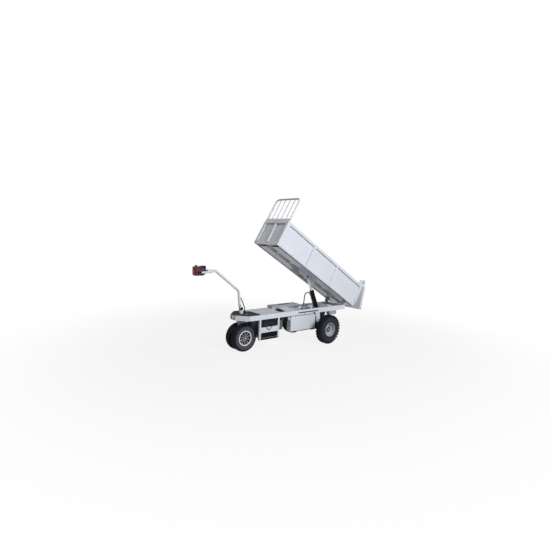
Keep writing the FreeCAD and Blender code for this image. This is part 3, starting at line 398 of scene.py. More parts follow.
def linear(text):
    """An sRGB hex colour as linear RGBA."""
    values = [int(text[i:i + 2], 16) / 255 for i in (1, 3, 5)]
    return (*[v / 12.92 if v <= 0.04045 else ((v + 0.055) / 1.055) ** 2.4 for v in values], 1)


def node(tree, kind, links=(), **settings):
    """Add a shader node and return its outputs; settings are its properties and inputs,
    links join other sockets to it."""
    made = tree.nodes.new("ShaderNode" + kind)
    for key, value in settings.items():
        if key in made.inputs.keys():
            made.inputs[key].default_value = value
        elif key[:2] == "in" and key[2:].isdigit():
            made.inputs[int(key[2:])].default_value = value
        else:
            setattr(made, key, value)
    for source, target in links:
        tree.links.new(source, made.inputs[target])
    return made.outputs


def blank(name):
    """An empty material; returns the material, its tree and the socket of its surface."""
    material = bpy.data.materials.new(name)
    material.use_nodes = True
    tree = material.node_tree
    tree.nodes.clear()
    out = tree.nodes.new("ShaderNodeOutputMaterial")
    return material, tree, out.inputs["Surface"]


def surface(key, name, colour, tint, patches, grain, roughness, metallic=0.0, bump=0.1,
            depth=0.0004, rough_swing=0.08, coat=0.0, specular=0.5, dust=0.0,
            dust_colour="#8a8378"):
    """A finish whose colour wanders to a tint in patches and whose relief has a fine grain.

    patches and grain are the sizes in millimetres of one patch and one grain."""
    FINISHES[key], tree, out = blank(name)
    place = node(tree, "TexCoord")["Object"]
    broad = node(tree, "TexNoise", [(place, "Vector")], Scale=1000 / patches, Detail=4.0,
                 Roughness=0.6)["Fac"]
    fine = node(tree, "TexNoise", [(place, "Vector")], Scale=1000 / grain, Detail=3.0,
                Roughness=0.55)
    paint = node(tree, "Mix", [(broad, 0)], data_type="RGBA", in6=linear(colour),
                 in7=linear(tint))[2]
    if dust:
        split = node(tree, "SeparateXYZ", [(place, "Vector")])
        low = node(tree, "MapRange", [(split["Z"], "Value")], in1=DUST_ENDS[0],
                   in2=DUST_ENDS[1], in4=dust)
        spots = node(tree, "Math", [(low["Result"], 0), (broad, 1)], operation="MULTIPLY")
        paint = node(tree, "Mix", [(spots["Value"], 0), (paint, 6)], data_type="RGBA",
                     in7=linear(dust_colour))[2]
    rough = node(tree, "MapRange", [(broad, "Value")], in1=NOISE_ENDS[0],
                 in2=NOISE_ENDS[1], in3=max(0.02, roughness - rough_swing),
                 in4=roughness + rough_swing)
    relief = node(tree, "Bump", [(fine["Fac"], "Height")], Strength=bump, Distance=depth)
    shader = node(tree, "BsdfPrincipled",
                  [(paint, "Base Color"), (rough["Result"], "Roughness"),
                   (relief["Normal"], "Normal")], Metallic=metallic,
                  **{"Coat Weight": coat, "Specular IOR Level": specular})
    tree.links.new(shader["BSDF"], out)


def lens(key, name, colour):
    """A plastic lens: smooth and glossy, with upright flutes."""
    FINISHES[key], tree, out = blank(name)
    place = node(tree, "TexCoord")
    flutes = node(tree, "TexWave", [(place["Object"], "Vector")], bands_direction="Y",
                  Scale=WAVE / FLUTE)
    relief = node(tree, "Bump", [(flutes["Fac"], "Height")], Strength=0.5, Distance=0.0008)
    shader = node(tree, "BsdfPrincipled", [(relief["Normal"], "Normal")],
                  **{"Roughness": 0.12, "Base Color": linear(colour), "Coat Weight": 0.4})
    tree.links.new(shader["BSDF"], out)


def make_finishes():
    """One material for each real finish on the cart."""
    c = bpy.context.scene.cart_colours
    # Powder coat on steel: silver-white, slight orange peel, soft sheen.
    surface("body", "powder_coat_silver_white", c.body, "#dde1e8", 180, 1.6, 0.38, bump=0.12,
            coat=0.12, dust=0.25)
    # The same coat on the small brackets, greyer and duller.
    surface("grey", "powder_coat_grey", c.grey, "#9b9da3", 120, 1.4, 0.5, bump=0.15, dust=0.3)
    # Satin black enamel over welded wire and castings.
    surface("black", "satin_black_enamel", c.black, "#0e131c", 60, 1.2, 0.55, bump=0.2,
            specular=0.15)
    # Vulcanised tread rubber: nearly black, matt, with road dust.
    surface("tyre", "vulcanised_tyre_rubber", c.tyre, "#161c28", 45, 0.9, 0.78, bump=0.35,
            dust=0.15, dust_colour="#57534e", specular=0.2)
    # Smooth moulded sidewall rubber, greyer than the tread.
    surface("sidewall", "moulded_sidewall_rubber", c.sidewall, "#3d3c44", 60, 0.8, 0.62,
            bump=0.2, specular=0.35)
    # The same on the rear tyres, darker and less dusty.
    surface("rear_wall", "moulded_rear_sidewall_rubber", "#1d212c", "#252934", 50, 0.8, 0.64,
            bump=0.25, specular=0.25)
    # Rubber mat of the nose: charcoal with a dull bloom.
    surface("mat", "fluted_rubber_mat", c.mat, "#393c46", 70, 1.0, 0.7, bump=0.3, specular=0.3)
    # Rubber jackets of cables and hose: black with a fine grain.
    surface("hose", "extruded_rubber_jacket", "#080b12", "#0e121a", 30, 0.8, 0.6, bump=0.3,
            specular=0.2)
    # Injection-moulded black ABS with a fine spark-eroded grain.
    surface("plastic", "moulded_black_abs", c.plastic, "#171a22", 40, 0.7, 0.42, bump=0.35)
    # Injection-moulded red ABS, glossier than the case.
    surface("red", "moulded_red_abs", c.red, "#a01822", 30, 0.9, 0.3, coat=0.2)
    # Glass-filled nylon of the controller: grey and matt, its darkness also painted shade for
    # the deck's well above it.
    surface("controller_grey_and_well_shade", "grey_nylon_with_painted_well_shade", "#565761", "#60616a", 40, 0.9, 0.6, bump=0.25)
    # Polypropylene battery cases: blue-black and waxy.
    surface("battery", "moulded_polypropylene", "#232733", "#2d3140", 60, 1.0, 0.4, bump=0.15)
    # Die-cast aluminium, face machined bright.
    surface("alloy", "machined_cast_aluminium", c.alloy, "#d6d8dc", 25, 0.6, 0.26,
            metallic=0.35, bump=0.08)
    # The pockets between the spokes keep a dark lacquer.
    surface("pocket", "dark_lacquered_casting", "#0b0c11", "#12141a", 20, 0.9, 0.5, bump=0.2)
    # Silver lacquer over pressed steel.
    surface("steel", "silver_lacquered_steel", c.steel, "#a9a8ad", 40, 0.8, 0.34, metallic=0.1)
    # Zinc-plated bolts and pins: bright, wandering from blue to yellow.
    surface("zinc", "zinc_plated_steel", "#b9bcc2", "#a8a698", 12, 0.5, 0.3, metallic=0.9)
    # Hard chrome ground round the rod.
    surface("chrome", "ground_hard_chrome", "#d6dade", "#c8ccd2", 40, 0.6, 0.1, metallic=1.0,
            bump=0.03, rough_swing=0.04)
    # Sand-cast iron of the gear case under black primer.
    surface("cast", "primed_sand_casting", "#2a2c31", "#383a40", 35, 2.2, 0.66, bump=0.6,
            depth=0.0008, dust=0.4, dust_colour="#5a5650")
    # White moulded cable plugs and clip of the mat.
    surface("white", "moulded_white_nylon", "#e4e6ea", "#d8dade", 30, 0.8, 0.45)
    # Nylon webbing of the battery strap: dull with a coarse grain.
    surface("webbing", "woven_nylon_webbing", "#20232b", "#2c3038", 12, 1.5, 0.8, bump=0.7,
            depth=0.0006)
    lens("lens_red", "moulded_red_lens", "#a3202b")
    lens("lens_clear", "moulded_clear_lens", "#e9ebef")


class CART_OT_finishes(bpy.types.Operator):
    """Make the finishes and put them on the CAD nodes"""
    bl_idname = "cart.finishes"
    bl_label = "Finishes"

    def execute(self, context):
        make_finishes()
        for name, piece in NODES.items():
            finish = FINISHES[NODE_FINISH.get(name) or SLOT_FINISH[NODE_SLOT[name]]]
            if not piece.material_slots:
                piece.data.materials.append(finish)
            for slot in piece.material_slots:
                slot.material = finish
        return {"FINISHED"}


# ---- cords ----
# Route points as in the CAD source, in millimetres from the rear axle, and radii in metres.
HOSE = [(299.7, 12, 468), (247.7, 12, 468), (209.4, 12, 479.7), (179.7, 12, 506.5),
        (162.5, 12, 547), (154.4, 12, 598), (150.9, 12, 648), (146.2, 12, 682),
        (129, 12, 706.4), (102.5, 12, 720.5), (72.5, 12, 720.5), (46, 12, 706.4),
        (26, 12, 679), (3.3, 12, 634), (-20.4, 12, 584), (-38, 12, 537),
        (-50, 12, 497), (-70, 10, 462), (-100.9, 6.1, 449.6)]
CABLE_OUTER = [(791, 180, 402), (768, 180, 402), (738, 180, 383), (705, 179, 368),
               (668, 177, 363), (634, 176, 368), (602, 175, 382), (578, 175, 382)]
CABLE_INNER = [(803, 150, 402), (778, 150, 402), (745, 152, 396), (705, 154, 393),
               (662, 155, 395), (620, 156, 400), (578, 156, 400)]
CONDUIT_LOWER = [(1250, 0, 519), (1250, 0, 548), (1255, 0, 578), (1266, 0, 608),
                 (1280, 0, 638)]
CONDUIT_UPPER = [(1280, 0, 638), (1294, 0, 668), (1307, 0, 694), (1318, 0, 713),
                 (1326, 0, 728)]
HOSE_R = 0.0075
CABLE_R = 0.006
CONDUIT_R = 0.0065


def mesh_cord(name, points, radius):
    """The cord as a mesh tube round a NURBS line, with the points of that line."""
    line = bpy.data.curves.new(name, "CURVE")
    line.dimensions = "3D"
    line.resolution_u = 8
    spline = line.splines.new("NURBS")
    spline.points.add(len(points) - 1)
    for point, place in zip(spline.points, points):
        point.co = (*at(*place), 1)
    spline.order_u = 3
    spline.use_endpoint_u = True
    piece = placed(name, line)
    bpy.context.view_layer.update()
    evaluated = piece.evaluated_get(bpy.context.evaluated_depsgraph_get())
    thin = bpy.data.meshes.new_from_object(evaluated)
    path = [tuple(v.co) for v in thin.vertices]
    bpy.data.meshes.remove(thin)
    line.bevel_depth = radius
    line.bevel_resolution = 5
    line.use_fill_caps = True
    only(piece)
    bpy.ops.object.convert(target="MESH")
    piece = bpy.context.object
    piece.data.materials.append(FINISHES["hose"])
    bpy.ops.object.shade_smooth_by_angle(angle=math.radians(50))
    return piece, path


def declare(node_name):
    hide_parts(node_name)


class CART_OT_cords(bpy.types.Operator):
    """Tipping hose, battery cables and the two stretches of the tiller's conduit"""
    bl_idname = "cart.cords"
    bl_label = "Hoses and cables"

    def execute(self, context):
        hose, path = mesh_cord("hydraulic_hose", HOSE, HOSE_R)
        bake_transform(hose)
        declare("tipping_hose")
        for name, points, length in (("outer", CABLE_OUTER, 0.224),
                                     ("inner", CABLE_INNER, 0.226)):
            cable, path = mesh_cord("battery_lead_" + name, points, CABLE_R)
            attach(cable, "chassis")
            declare("battery_cable_" + name)
        for name, points, length, near, far in (
                ("lower", CONDUIT_LOWER, 0.124, "chassis", "steering"),
                ("upper", CONDUIT_UPPER, 0.101, "steering", "tiller")):
            conduit, path = mesh_cord("tiller_conduit_" + name, points, CONDUIT_R)
            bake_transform(conduit)
            declare("conduit_" + name)
        return {"FINISHED"}


# ---- wheels ----
LUGS = 28  # blocks in each row of a rear tyre
LUG_WIDTH = 0.023
LUG_LEAN = math.radians(7)
SIPES = 96  # shoulder blocks on each side of a front tyre
SIPE_WIDTH = 0.0064
SPOKES = 10
FRONT_WHEEL_Y = 0.065  # from the cart's middle to a front wheel's middle
WHEEL_BOLTS = (4, 57, math.pi / 4)  # number, radius of their circle and first angle


def middle(name):
    """The middle of a CAD node's box, in metres in the saved frame."""
    low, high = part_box(name)
    return (low + high) / 2


def mirrored(half_profile):
    """A section given from its middle to its edge, with its other half added."""
    return [(r, -o) for r, o in reversed(half_profile)] + list(half_profile)


def tread_block(name, centre, section, width, side):
    """A block on top of a wheel: a section of (radius, offset) drawn out to a width."""
    outline = [centre + Vector((-width / 2, side * o / 1000, r / 1000)) for r, o in section]
    return plate(name, outline, Vector((width, 0, 0)))


def front_wheels():
    """The side and the centre of each front wheel."""
    centre = middle("front_tyres")
    return [(side, Vector((centre.x, side * FRONT_WHEEL_Y, centre.z))) for _, side in SIDES]


class CART_OT_rear_tyres(bpy.types.Operator):
    """Rear tyres: two staggered rows of blocks that reach over the shoulders, and cheeks"""
    bl_idname = "cart.rear_tyres"
    bl_label = "Rear tyres"

    def execute(self, context):
        section = mirrored([(203.6, 0.5), (203.2, 18), (201, 32), (196, 44), (188, 50.5),
                            (178, 54), (174, 52)])
        cheek = mirrored([(176, 40), (177.5, 53), (174, 55), (160, 57), (146, 56),
                          (132, 52.5), (128, 53), (124, 51.5), (112, 47), (104, 44),
                          (102.6, 40)])
        shape = [(199, 3), (215.4, 4), (215.6, 38), (212.6, 46), (203, 53.5), (188, 57),
                 (187, 48), (195, 42)]
        for name, _ in SIDES:
            centre = middle("rear_tyre_" + name)
            body = "rear_wheel_" + name
            parts = [spun("carcass", section, centre, 96)]
            for row in (1, -1):
                lug = tread_block("lug", centre, shape, LUG_WIDTH, row)
                turned(lug, centre, row * LUG_LEAN, "Z")
                rounded(lug, sizes().lug_round, 2, 25)
                if row < 0:
                    turned(lug, centre, math.pi / LUGS, "Y")
                parts.append(ring_of(lug, centre, LUGS))
            fit(joined("rear_block_tyre_" + name, parts), "tyre_rubber", body,
                replaces="rear_tyre_" + name)
            wall = spun("rear_sidewall_" + name, cheek, centre, 96)
            fit(wall, "tyre_rubber", body, "rear_wall")
        return {"FINISHED"}


class CART_OT_rear_rims(bpy.types.Operator):
    """Deep rear rims with rolled lips, a recessed disc, hub ring, hub cap and wheel bolts"""
    bl_idname = "cart.rear_rims"
    bl_label = "Rear rims"

    def execute(self, context):
        shell = [(102.4, 46), (103, 49), (101, 51), (98, 50), (97, 46), (95.5, 38), (93.5, 18),
                 (90, 2), (82, -8), (77, -14), (77, -18), (81, -26), (91, -32), (95, -42),
                 (98, -50), (101, -51), (102.6, -49), (101, -46), (97, -44), (95, -30),
                 (86, -24), (83.5, -15), (86, -7), (94, 4), (97, 20), (98.5, 38), (100, 45)]
        disc = [(78, -12), (71, -19), (63, -13), (53, -11), (47, -14), (40, -14), (40, -19),
                (53, -17), (63, -18), (71, -24), (78, -18)]
        hub = [(18, 14), (40, 13), (43, 10), (43, -26), (18, -26)]
        ring = [(24, 13), (36, 13), (37, 15), (35, 18.5), (26, 18.5), (24, 16)]
        cap = [(0.01, 25), (12, 24), (19, 20), (21, 14), (0.01, 14)]
        for name, side in SIDES:
            centre = middle("rear_rim_" + name)
            body = "rear_wheel_" + name
            rim = [spun("rim", section, centre, steps, facing=side)
                   for section, steps in ((shell, 80), (disc, 64), (hub, 48))]
            fit(joined("rear_dished_rim_" + name, rim), "rim_steel", body,
                replaces="rear_rim_" + name)
            seal = spun("rear_hub_ring_" + name, ring, centre, 48, facing=side)
            fit(seal, "black_paint", body, "tyre")
            base = centre * 1000
            parts = [spun("cap", cap, centre, 40, facing=side)]
            parts += [bolt("wheel_bolt", base + Vector((x, side * -11, z)), (0, side, 0),
                           sizes().bolt) for x, z in circle(*WHEEL_BOLTS)]
            fit(joined("rear_hub_cap_" + name, parts), "rim_steel", body, "zinc")
        return {"FINISHED"}


class CART_OT_front_tyres(bpy.types.Operator):
    """Front road tyres: grooved tread, shoulder blocks and a smooth sidewall"""
    bl_idname = "cart.front_tyres"
    bl_label = "Front tyres"

    def execute(self, context):
        crown = mirrored([(186.6, 2), (186.8, 8), (183, 8.6), (183, 11.4), (186.4, 12),
                          (185.6, 22), (182, 22.6), (182, 25), (184.6, 25.6), (181, 34),
                          (176, 38.5), (168, 42), (158, 44)])
        crown += [(156, 38), (156, -38)]
        shoulder = [(166, 36), (183.6, 29), (182.2, 35), (177.6, 40.4), (169, 44),
                    (160, 45.6), (158, 40)]
        wall = mirrored([(157, 34), (158.6, 42), (156, 44.8), (150, 45.2), (140, 44.6),
                         (128, 42.6), (124, 43.2), (119, 42.6), (116, 40), (109, 38.6),
                         (104.6, 36), (103.6, 30)])
        treads, walls = [], []
        for _, wheel in front_wheels():
            treads.append(spun("crown", crown, wheel, 96))
            for edge in (1, -1):
                sipe = tread_block("shoulder", wheel, shoulder, SIPE_WIDTH, edge)
                treads.append(ring_of(sipe, wheel, SIPES))
            walls.append(spun("wall", wall, wheel, 96))
        fit(joined("front_tread", treads), "tyre_rubber", "front_wheels",
            replaces="front_tyres")
        fit(joined("front_sidewalls", walls), "tyre_rubber", "front_wheels", "sidewall")
        return {"FINISHED"}


class CART_OT_front_rims(bpy.types.Operator):
    """Front alloy rims: bright lip, ten slim spokes over dark pockets and a hub cap"""
    bl_idname = "cart.front_rims"
    bl_label = "Front rims"

    def execute(self, context):
        lip = [(104.8, 35), (104.4, 38.6), (101.5, 39.4), (91, 38.2), (89.6, 36), (90.5, 30),
               (96, 18), (97, -20), (99, -34), (101, -38.5), (104, -38), (104, -35),
               (101, -32), (100.5, 16), (101.5, 30)]
        outline = [(22, -1.9), (50, -1.7), (82, -2.4), (95, -5), (95, 5), (82, 2.4), (50, 1.7),
                   (22, 1.9)]
        hub = [(0.01, 38), (9, 37.6), (13, 35), (14, 30), (0.01, 30)]
        pocket = [(13, 31), (20, 31.4), (29, 29), (30, 14), (96.6, 12), (96.6, 8), (30, 4),
                  (30, -34), (13, -34)]
        bright, dark = [], []
        for side, wheel in front_wheels():
            face = [wheel + Vector((o / 1000, side * 0.020, r / 1000)) for r, o in outline]
            spoke = rounded(plate("spoke", face, Vector((0, side * 0.012, 0))), 0.0009, 2, 25)
            bright += [spun("lip", lip, wheel, 88, facing=side),
                       ring_of(spoke, wheel, SPOKES),
                       spun("hub", hub, wheel, 48, facing=side)]
            dark.append(spun("pocket", pocket, wheel, 64, facing=side))
        fit(joined("front_alloy_rims", bright), "rim_alloy", "front_wheels",
            replaces="front_rims")
        fit(joined("front_rim_pockets", dark), "rim_alloy", "front_wheels", "pocket")
        return {"FINISHED"}


# ---- fittings ----
MOTOR_Y, MOTOR_Z = 55, 200  # axis of the drive motor


class CART_OT_deck(bpy.types.Operator):
    """Lamp gasket, cable duct as painted shade in the side slot, mat clip and button, screws,
    vents and ring round the post
    """
    bl_idname = "cart.deck"
    bl_label = "Deck fittings"

    def execute(self, context):
        ring = [mm(1442.5, y - 6, z + 470.5) for y, z in rounded_slot(32, 9.5, 29.5)]
        gasket = rounded(plate("lamp_gasket", ring, mm(6, 0, 0)), 0.001, 2, 50)
        fit(gasket, "black_plastic")
        # The black duct and plug seen through the side slot are painted shade, standing in for
        # the shade inside the slot.
        slot_shade_duct = [block("slot_shade_duct", x, (176, 194.5), (459, 485), 0.003)
                for x in ((19, 299), (341, 444))]
        plug = block("plug", (298, 342), (196.4, 198.6), (467.4, 476.6), 0.0004)
        fit(joined("slot_shade_cable_duct", [*slot_shade_duct, plug]), "black_plastic")
        clip = block("mat_clip", (1124, 1149), (-78, -61), (DECK_TOP, 524), 0.004)
        fit(clip, "frame_paint", finish="white")
        button = spun("deck_button", [(0.01, 5), (9, 5), (12, 3.4), (13, 0.2), (0.01, 0.2)],
                      mm(1268, 62, MAT_TOP), 32, UP)
        fit(button, "bright_steel")
        places = [(x, 178, DECK_TOP) for x in (1010, 830, 430, 210, -40, -330)]
        places += [(x, -178, DECK_TOP) for x in (1010, 830, -40, -330)]
        bolts("deck_screws", places, UP, width=0.014)
        places = [(x, y, COVER_TOP) for y in (-110, -186) for x in (230, 660)]
        bolts("cover_screws", places, UP, width=0.012)
        first = block("vent", (330, 338), (-182, -118), (542.6, 544.4), 0.0006, 1)
        vents = [copied(first, Matrix.Translation(mm(18 * i, 0, 0))) for i in range(1, 12)]
        fit(joined("cover_vents", [first, *vents]), "grey_paint", finish="black")
        ring = spun("deck_hole_ring", [(29, 0), (40, 0), (40, 2.4), (37, 4), (31, 4), (29, 3)],
                    mm(STEER_X, 0, MAT_TOP), 48, UP)
        fit(ring, "black_plastic")
        return {"FINISHED"}


class CART_OT_side_box(bpy.types.Operator):
    """Lid and cable grommet of the side box; lids, caps and posts of the batteries"""
    bl_idname = "cart.side_box"
    bl_label = "Side box and batteries"

    def execute(self, context):
        lid = block("side_box_lid", (84.6, 579.4), (118.6, 201.4), (408, 420.6))
        fit(lid, "frame_paint")
        ring = [mm(x + 116, 199.8, z + 441) for x, z in rounded_slot(24, 15, 6.5)]
        fit(plate("cable_grommet", ring, mm(0, 1.8, 0)), "black_plastic")
        lids, caps, posts = [], [], []
        for y in (3, -166):
            lids.append(block("lid", (802, 1061), (y + 1, y + 162), (425, 433), 0.004, 3))
            caps += [spun("cap", [(0.01, 7), (10, 7), (13, 5), (13, 0), (0.01, 0)],
                          mm(x, y + 82, 432.5), 20, UP) for x in range(836, 1027, 38)]
            posts += [bar("post", (812, side, 432), (812, side, 435.6), 7)
                      for side in (y + 24, y + 140)]
        fit(joined("battery_lids", lids), "battery_case")
        fit(joined("battery_caps", caps), "red_plastic")
        fit(joined("battery_posts", posts), "bright_steel")
        return {"FINISHED"}


class CART_OT_under_deck(bpy.types.Operator):
    """Battery strap, cable plugs and boots, black lip of painted shade under the side slot,
    guard panels, clamps and bolts of the axle, fins of the motor and bolts of the brackets"""
    bl_idname = "cart.under_deck"
    bl_label = "Under the deck"

    def execute(self, context):
        route = [(905, 205, 414), (922, 205, 336), (978, 205, 281), (1034, 205, 336),
                 (1051, 205, 414)]
        strap = [bar("run", a, b, 3.6, 16, 0.0032) for a, b in zip(route, route[1:])]
        fit(joined("battery_strap", strap), "hose_rubber", finish="webbing")
        plugs = [block("plug", (578.5, 604), (165, 187), (371, 393), 0.003),
                 block("plug", (578.5, 600), (145, 167), (389, 411), 0.003)]
        fit(joined("cable_plugs", plugs), "clear_plastic", finish="white")
        cap = block("cable_cap", (600.5, 611), (150, 162), (394, 406), 0.003)
        fit(cap, "red_plastic")
        boots = [bar("boot", (x, y, 402), (x + 26, y, 402), 9)
                 for x, y in ((764, 180), (774, 150))]
        fit(joined("cable_boots", boots), "hose_rubber", finish="plastic")
        # The black lip under the side slot is painted shade, widening the slot's dark line;
        # the post below it is a thin upright.
        lip = [block("lip", (26, 437), (199.6, 203), (461, 467.4), 0.0012),
               block("post", (309, 314), (199.6, 202), (441, 463), 0.0008)]
        fit(joined("slot_shade_lip_and_post", lip), "black_paint")
        span = (818.6, 1113.4)
        panel = block("guard_panel", span, (198.8, 201.4), (409, 435.6), 0.0007)
        fit(pair(panel), "black_paint")
        low = [block("backing", span, (186, 187.6), (181, 253.6), 0.0005),
               block("strip", span, (199.4, 201.4), (154.6, 180.6), 0.0007)]
        fit(pair(joined("low_guard_panel", low)), "black_paint")
        clamp = [(28.4, -5), (38, -5), (39, -4), (39, 4), (38, 5), (28.4, 5)]
        clamps = [spun("clamp", clamp, mm(0, y, REAR_AXLE_Z), 48)
                  for y in (146, -146, 184, -184)]
        fit(joined("axle_clamps", clamps), "cast_metal", finish="black")
        bolts("gear_case_bolts", [(66, y, z) for y in (14, 96) for z in (162, 270)], AHEAD)
        bolts("gear_cover_bolts", [(x, 103, z + REAR_AXLE_Z) for x, z in circle(6, 45, 0.3)],
              LEFT)
        fin = [(45.5, 0), (49.5, 0), (49.5, 3), (45.5, 3)]
        end = [(0.01, 9), (14, 9), (15, 6), (36, 5), (43, 0.5), (0.01, 0.5)]
        rings = [spun("ring", section, mm(x, MOTOR_Y, MOTOR_Z), 48, AHEAD)
                 for x, section in [(x, fin) for x in range(96, 250, 14)] + [(276, end)]]
        fit(joined("motor_fins", rings), "black_paint")
        bolts("bracket_bolts", [(x, 199, 405) for x in (-355, -300, -250)], LEFT)
        bolts("frame_bolts", [(x, 200, 291) for x in (805, 1127)], LEFT, width=0.013)
        return {"FINISHED"}


class CART_OT_pins(bpy.types.Operator):
    """Heads on the pins of the bed, the tailgate and the cylinder, and caps on their plates"""
    bl_idname = "cart.pins"
    bl_label = "Pins"

    def execute(self, context):
        x, z = BED_HINGE
        heads = [bolt("head", (x, y, z), (0, way, 0), 0.026)
                 for y, way in ((197, 1), (153, -1))]
        fit(pair(joined("bed_pin_heads", heads)), "bright_steel")
        x, z = CYLINDER_BASE
        heads = bolt("base_pin_heads", (x, 36, z), LEFT, 0.028)
        fit(pair(heads), "bright_steel")
        s, h = GATE_PIN
        heads = bolt("gate_pin_heads", (s, BED_SIDE + 3, h), LEFT, 0.024)
        fit(pair(heads), "bright_steel", "bed")
        head = [(0.01, 8), (9, 8), (16, 6), (17, 4), (17, 0.4), (0.01, 0.4)]
        heads = spun("rod_pin_heads", head, mm(956, 48, 0), 40)
        fit(pair(heads), "black_paint", "bed")
        caps = spun("plate_caps", [(0.01, 3), (12, 3), (16.5, 1.5), (17, 0.3), (0.01, 0.3)],
                    mm(1032, 84, -26), 40)
        fit(pair(caps), "black_plastic", "bed")
        return {"FINISHED"}


class CART_OT_cylinder(bpy.types.Operator):
    """Gland ring, bands, saddles, weld, grease nipple and hose ends of the tipping cylinder"""
    bl_idname = "cart.cylinder"
    bl_label = "Tipping cylinder"

    def execute(self, context):
        origin = Vector()
        gland = [(32.4, 350), (35, 351), (35.6, 353), (35.6, 372), (34, 376), (31, 378.4),
                 (17.9, 378.4), (17.9, 377.1), (32.4, 377.1)]
        gland = spun("gland", gland, origin, 48, AHEAD)
        hole = bar("spanner_hole", (362, 33, 0), (362, 36.4, 0), 4, 16)
        holes = [copied(hole, Matrix.Rotation(i * math.pi / 3, 4, "X")) for i in range(1, 6)]
        fit(joined("gland_nut", [gland, hole, *holes]), "black_paint", "cylinder_barrel",
            smooth=30)
        bands = (130, 320)
        weld = [(16.3, 38), (19, 40), (30, 45), (31.5, 46.5), (16.3, 46.5)]
        parts = [spun("weld", weld, origin, 48, AHEAD)]
        parts += [spun("band", [(32.4, s - 8), (34.6, s - 8), (34.6, s + 8), (32.4, s + 8)],
                       origin, 48, AHEAD) for s in bands]
        parts += [block("saddle", (s - 8, s + 8), (-8, 8), (-46, -32)) for s in bands]
        fit(joined("barrel_fittings", parts), "black_paint", "cylinder_barrel")
        nipple = bar("grease_nipple", (-28, 0, 0), (-37, 0, 0), 3.6, 12)
        fit(nipple, "bright_steel", "cylinder_barrel")
        start = [bar("sleeve", (266, 12, 468), (293, 12, 468), 10.5),
                 bar("nut", (291, 12, 468), (299.8, 12, 468), 13, 6)]
        fit(joined("hose_start_fitting", start), "bright_steel", smooth=25)
        end = [bar("sleeve", (-72, 9.7, 461.2), (-95, 6.8, 452), 10.5),
               bar("nut", (-93, 7.1, 452.8), (-101, 6.1, 449.6), 12, 6)]
        fit(joined("hose_end_fitting", end), "bright_steel", "cylinder_barrel", smooth=25,
            where="chassis")
        return {"FINISHED"}


class CART_OT_head(bpy.types.Operator):
    """Case, seam, pad, belly plate, discs, switch, key and screws of the control head"""
    bl_idname = "cart.head"
    bl_label = "Control head"

    def execute(self, context):
        rear, front, low, high = 1884, 2034, 1050, 1166
        corners = [(rear, low + 26), (rear, high - 1), (rear + 6, high + 1),
                   (front - 6, high - 3), (front, high - 9), (front, low + 8),
                   (front - 8, low), (rear + 36, low)]
        case = plate("head_case", [mm(x, -HEAD_FACE, z) for x, z in corners],
                     mm(0, 2 * HEAD_FACE, 0))
        fit(rounded(case, 0.004, 3, 20), "black_plastic", "tiller", replaces="control_head")
        middle_x, middle_z = 1962, 1108
        seam = [mm(middle_x + (x - middle_x) * 1.012, -1.2, middle_z + (z - middle_z) * 1.016)
                for x, z in corners]
        seam = rounded(plate("head_seam", seam, mm(0, 2.4, 0)), 0.001, 2, 20)
        fit(seam, "black_plastic", "tiller", "pocket")
        pad = block("head_pad", (1886, 1926), (-27, 27), (1162, 1171), 0.003, 3)
        fit(pad, "black_plastic", "tiller")
        belly = block("belly_plate", (2033.5, 2044), (-23, 23), (1068, 1154), 0.004, 3)
        fit(belly, "red_plastic", "tiller", replaces="belly_button")
        x, z = 1984, 1092
        disc = [(0.01, 8.6), (20, 8.6), (21, 7), (25, 7), (26, 8.8), (34, 8.8), (36.6, 6.6),
                (36.8, 0.4), (0.01, 0.4)]
        disc = spun("head_disc", disc, mm(x, HEAD_FACE, z), 64)
        fit(pair(disc), "red_plastic", "tiller", replaces="head_collars")
        fit(pair(bolt("hub_bolt", (x, 77, z), LEFT, 0.014)), "bright_steel", "tiller", "black")
        lever = block("head_switch", (1922, 1942), (34.5, 41), (1122, 1128))
        fit(lever, "bright_steel", "tiller", "steel")
        dial = [(0.01, 4), (3, 4), (3.6, 6), (8, 6), (9.5, 4), (10, 0.2), (0.01, 0.2)]
        dial = spun("key_switch", dial, mm(1928, HEAD_FACE, 1107), 40)
        fit(dial, "black_plastic", "tiller")
        key = bar("hanging_key", (1924, 30, 1052), (1924, 30, 1008), 2.4, 12)
        fit(key, "bright_steel", "tiller", "alloy")
        screws = [(x, HEAD_FACE, z) for x, z in
                  ((1894, 1090), (1926, 1062), (2022, 1064), (2022, 1150), (1894, 1154))]
        bolts("head_screws", screws, LEFT, "tiller", 0.007, "black")
        return {"FINISHED"}


class CART_OT_tiller(bpy.types.Operator):
    """Weld and bolts of the tiller's foot, conduit end, axle collars and turntable bolts"""
    bl_idname = "cart.tiller"
    bl_label = "Tiller fittings"

    def execute(self, context):
        weld = spun("foot_weld", [(16.8, 22), (20, 23), (21, 26), (19, 30), (16.8, 31)],
                    mm(1336, 0, 612), 48, Vector((26, 0, 210)))
        fit(weld, "frame_paint", "tiller")
        for place, body in (((1337, 14, 620), "tiller"), ((1325, 26.5, 584), "steering")):
            fit(pair(bolt("foot_bolt", place, LEFT, 0.013)), "bright_steel", body, "black")
        ferrule = spun("conduit_end", [(6.6, 0), (9.4, 1), (9.4, 11), (7.6, 17), (6.6, 17)],
                       mm(1250, 0, 519), 32, UP)
        fit(ferrule, "black_plastic")
        collar = [(12.7, -3), (18, -3), (19, -1), (19, 3), (17, 5), (12.7, 5)]
        collars = [spun("collar", collar, mm(1300, y, 187), 40) for y in (18, -18)]
        fit(joined("front_axle_collars", collars), "bright_steel", "steering")
        places = [(x + STEER_X, y, 421) for x, y in circle(6, 58)]
        bolts("turntable_bolts", places, (0, 0, -1), "steering", 0.013)
        return {"FINISHED"}


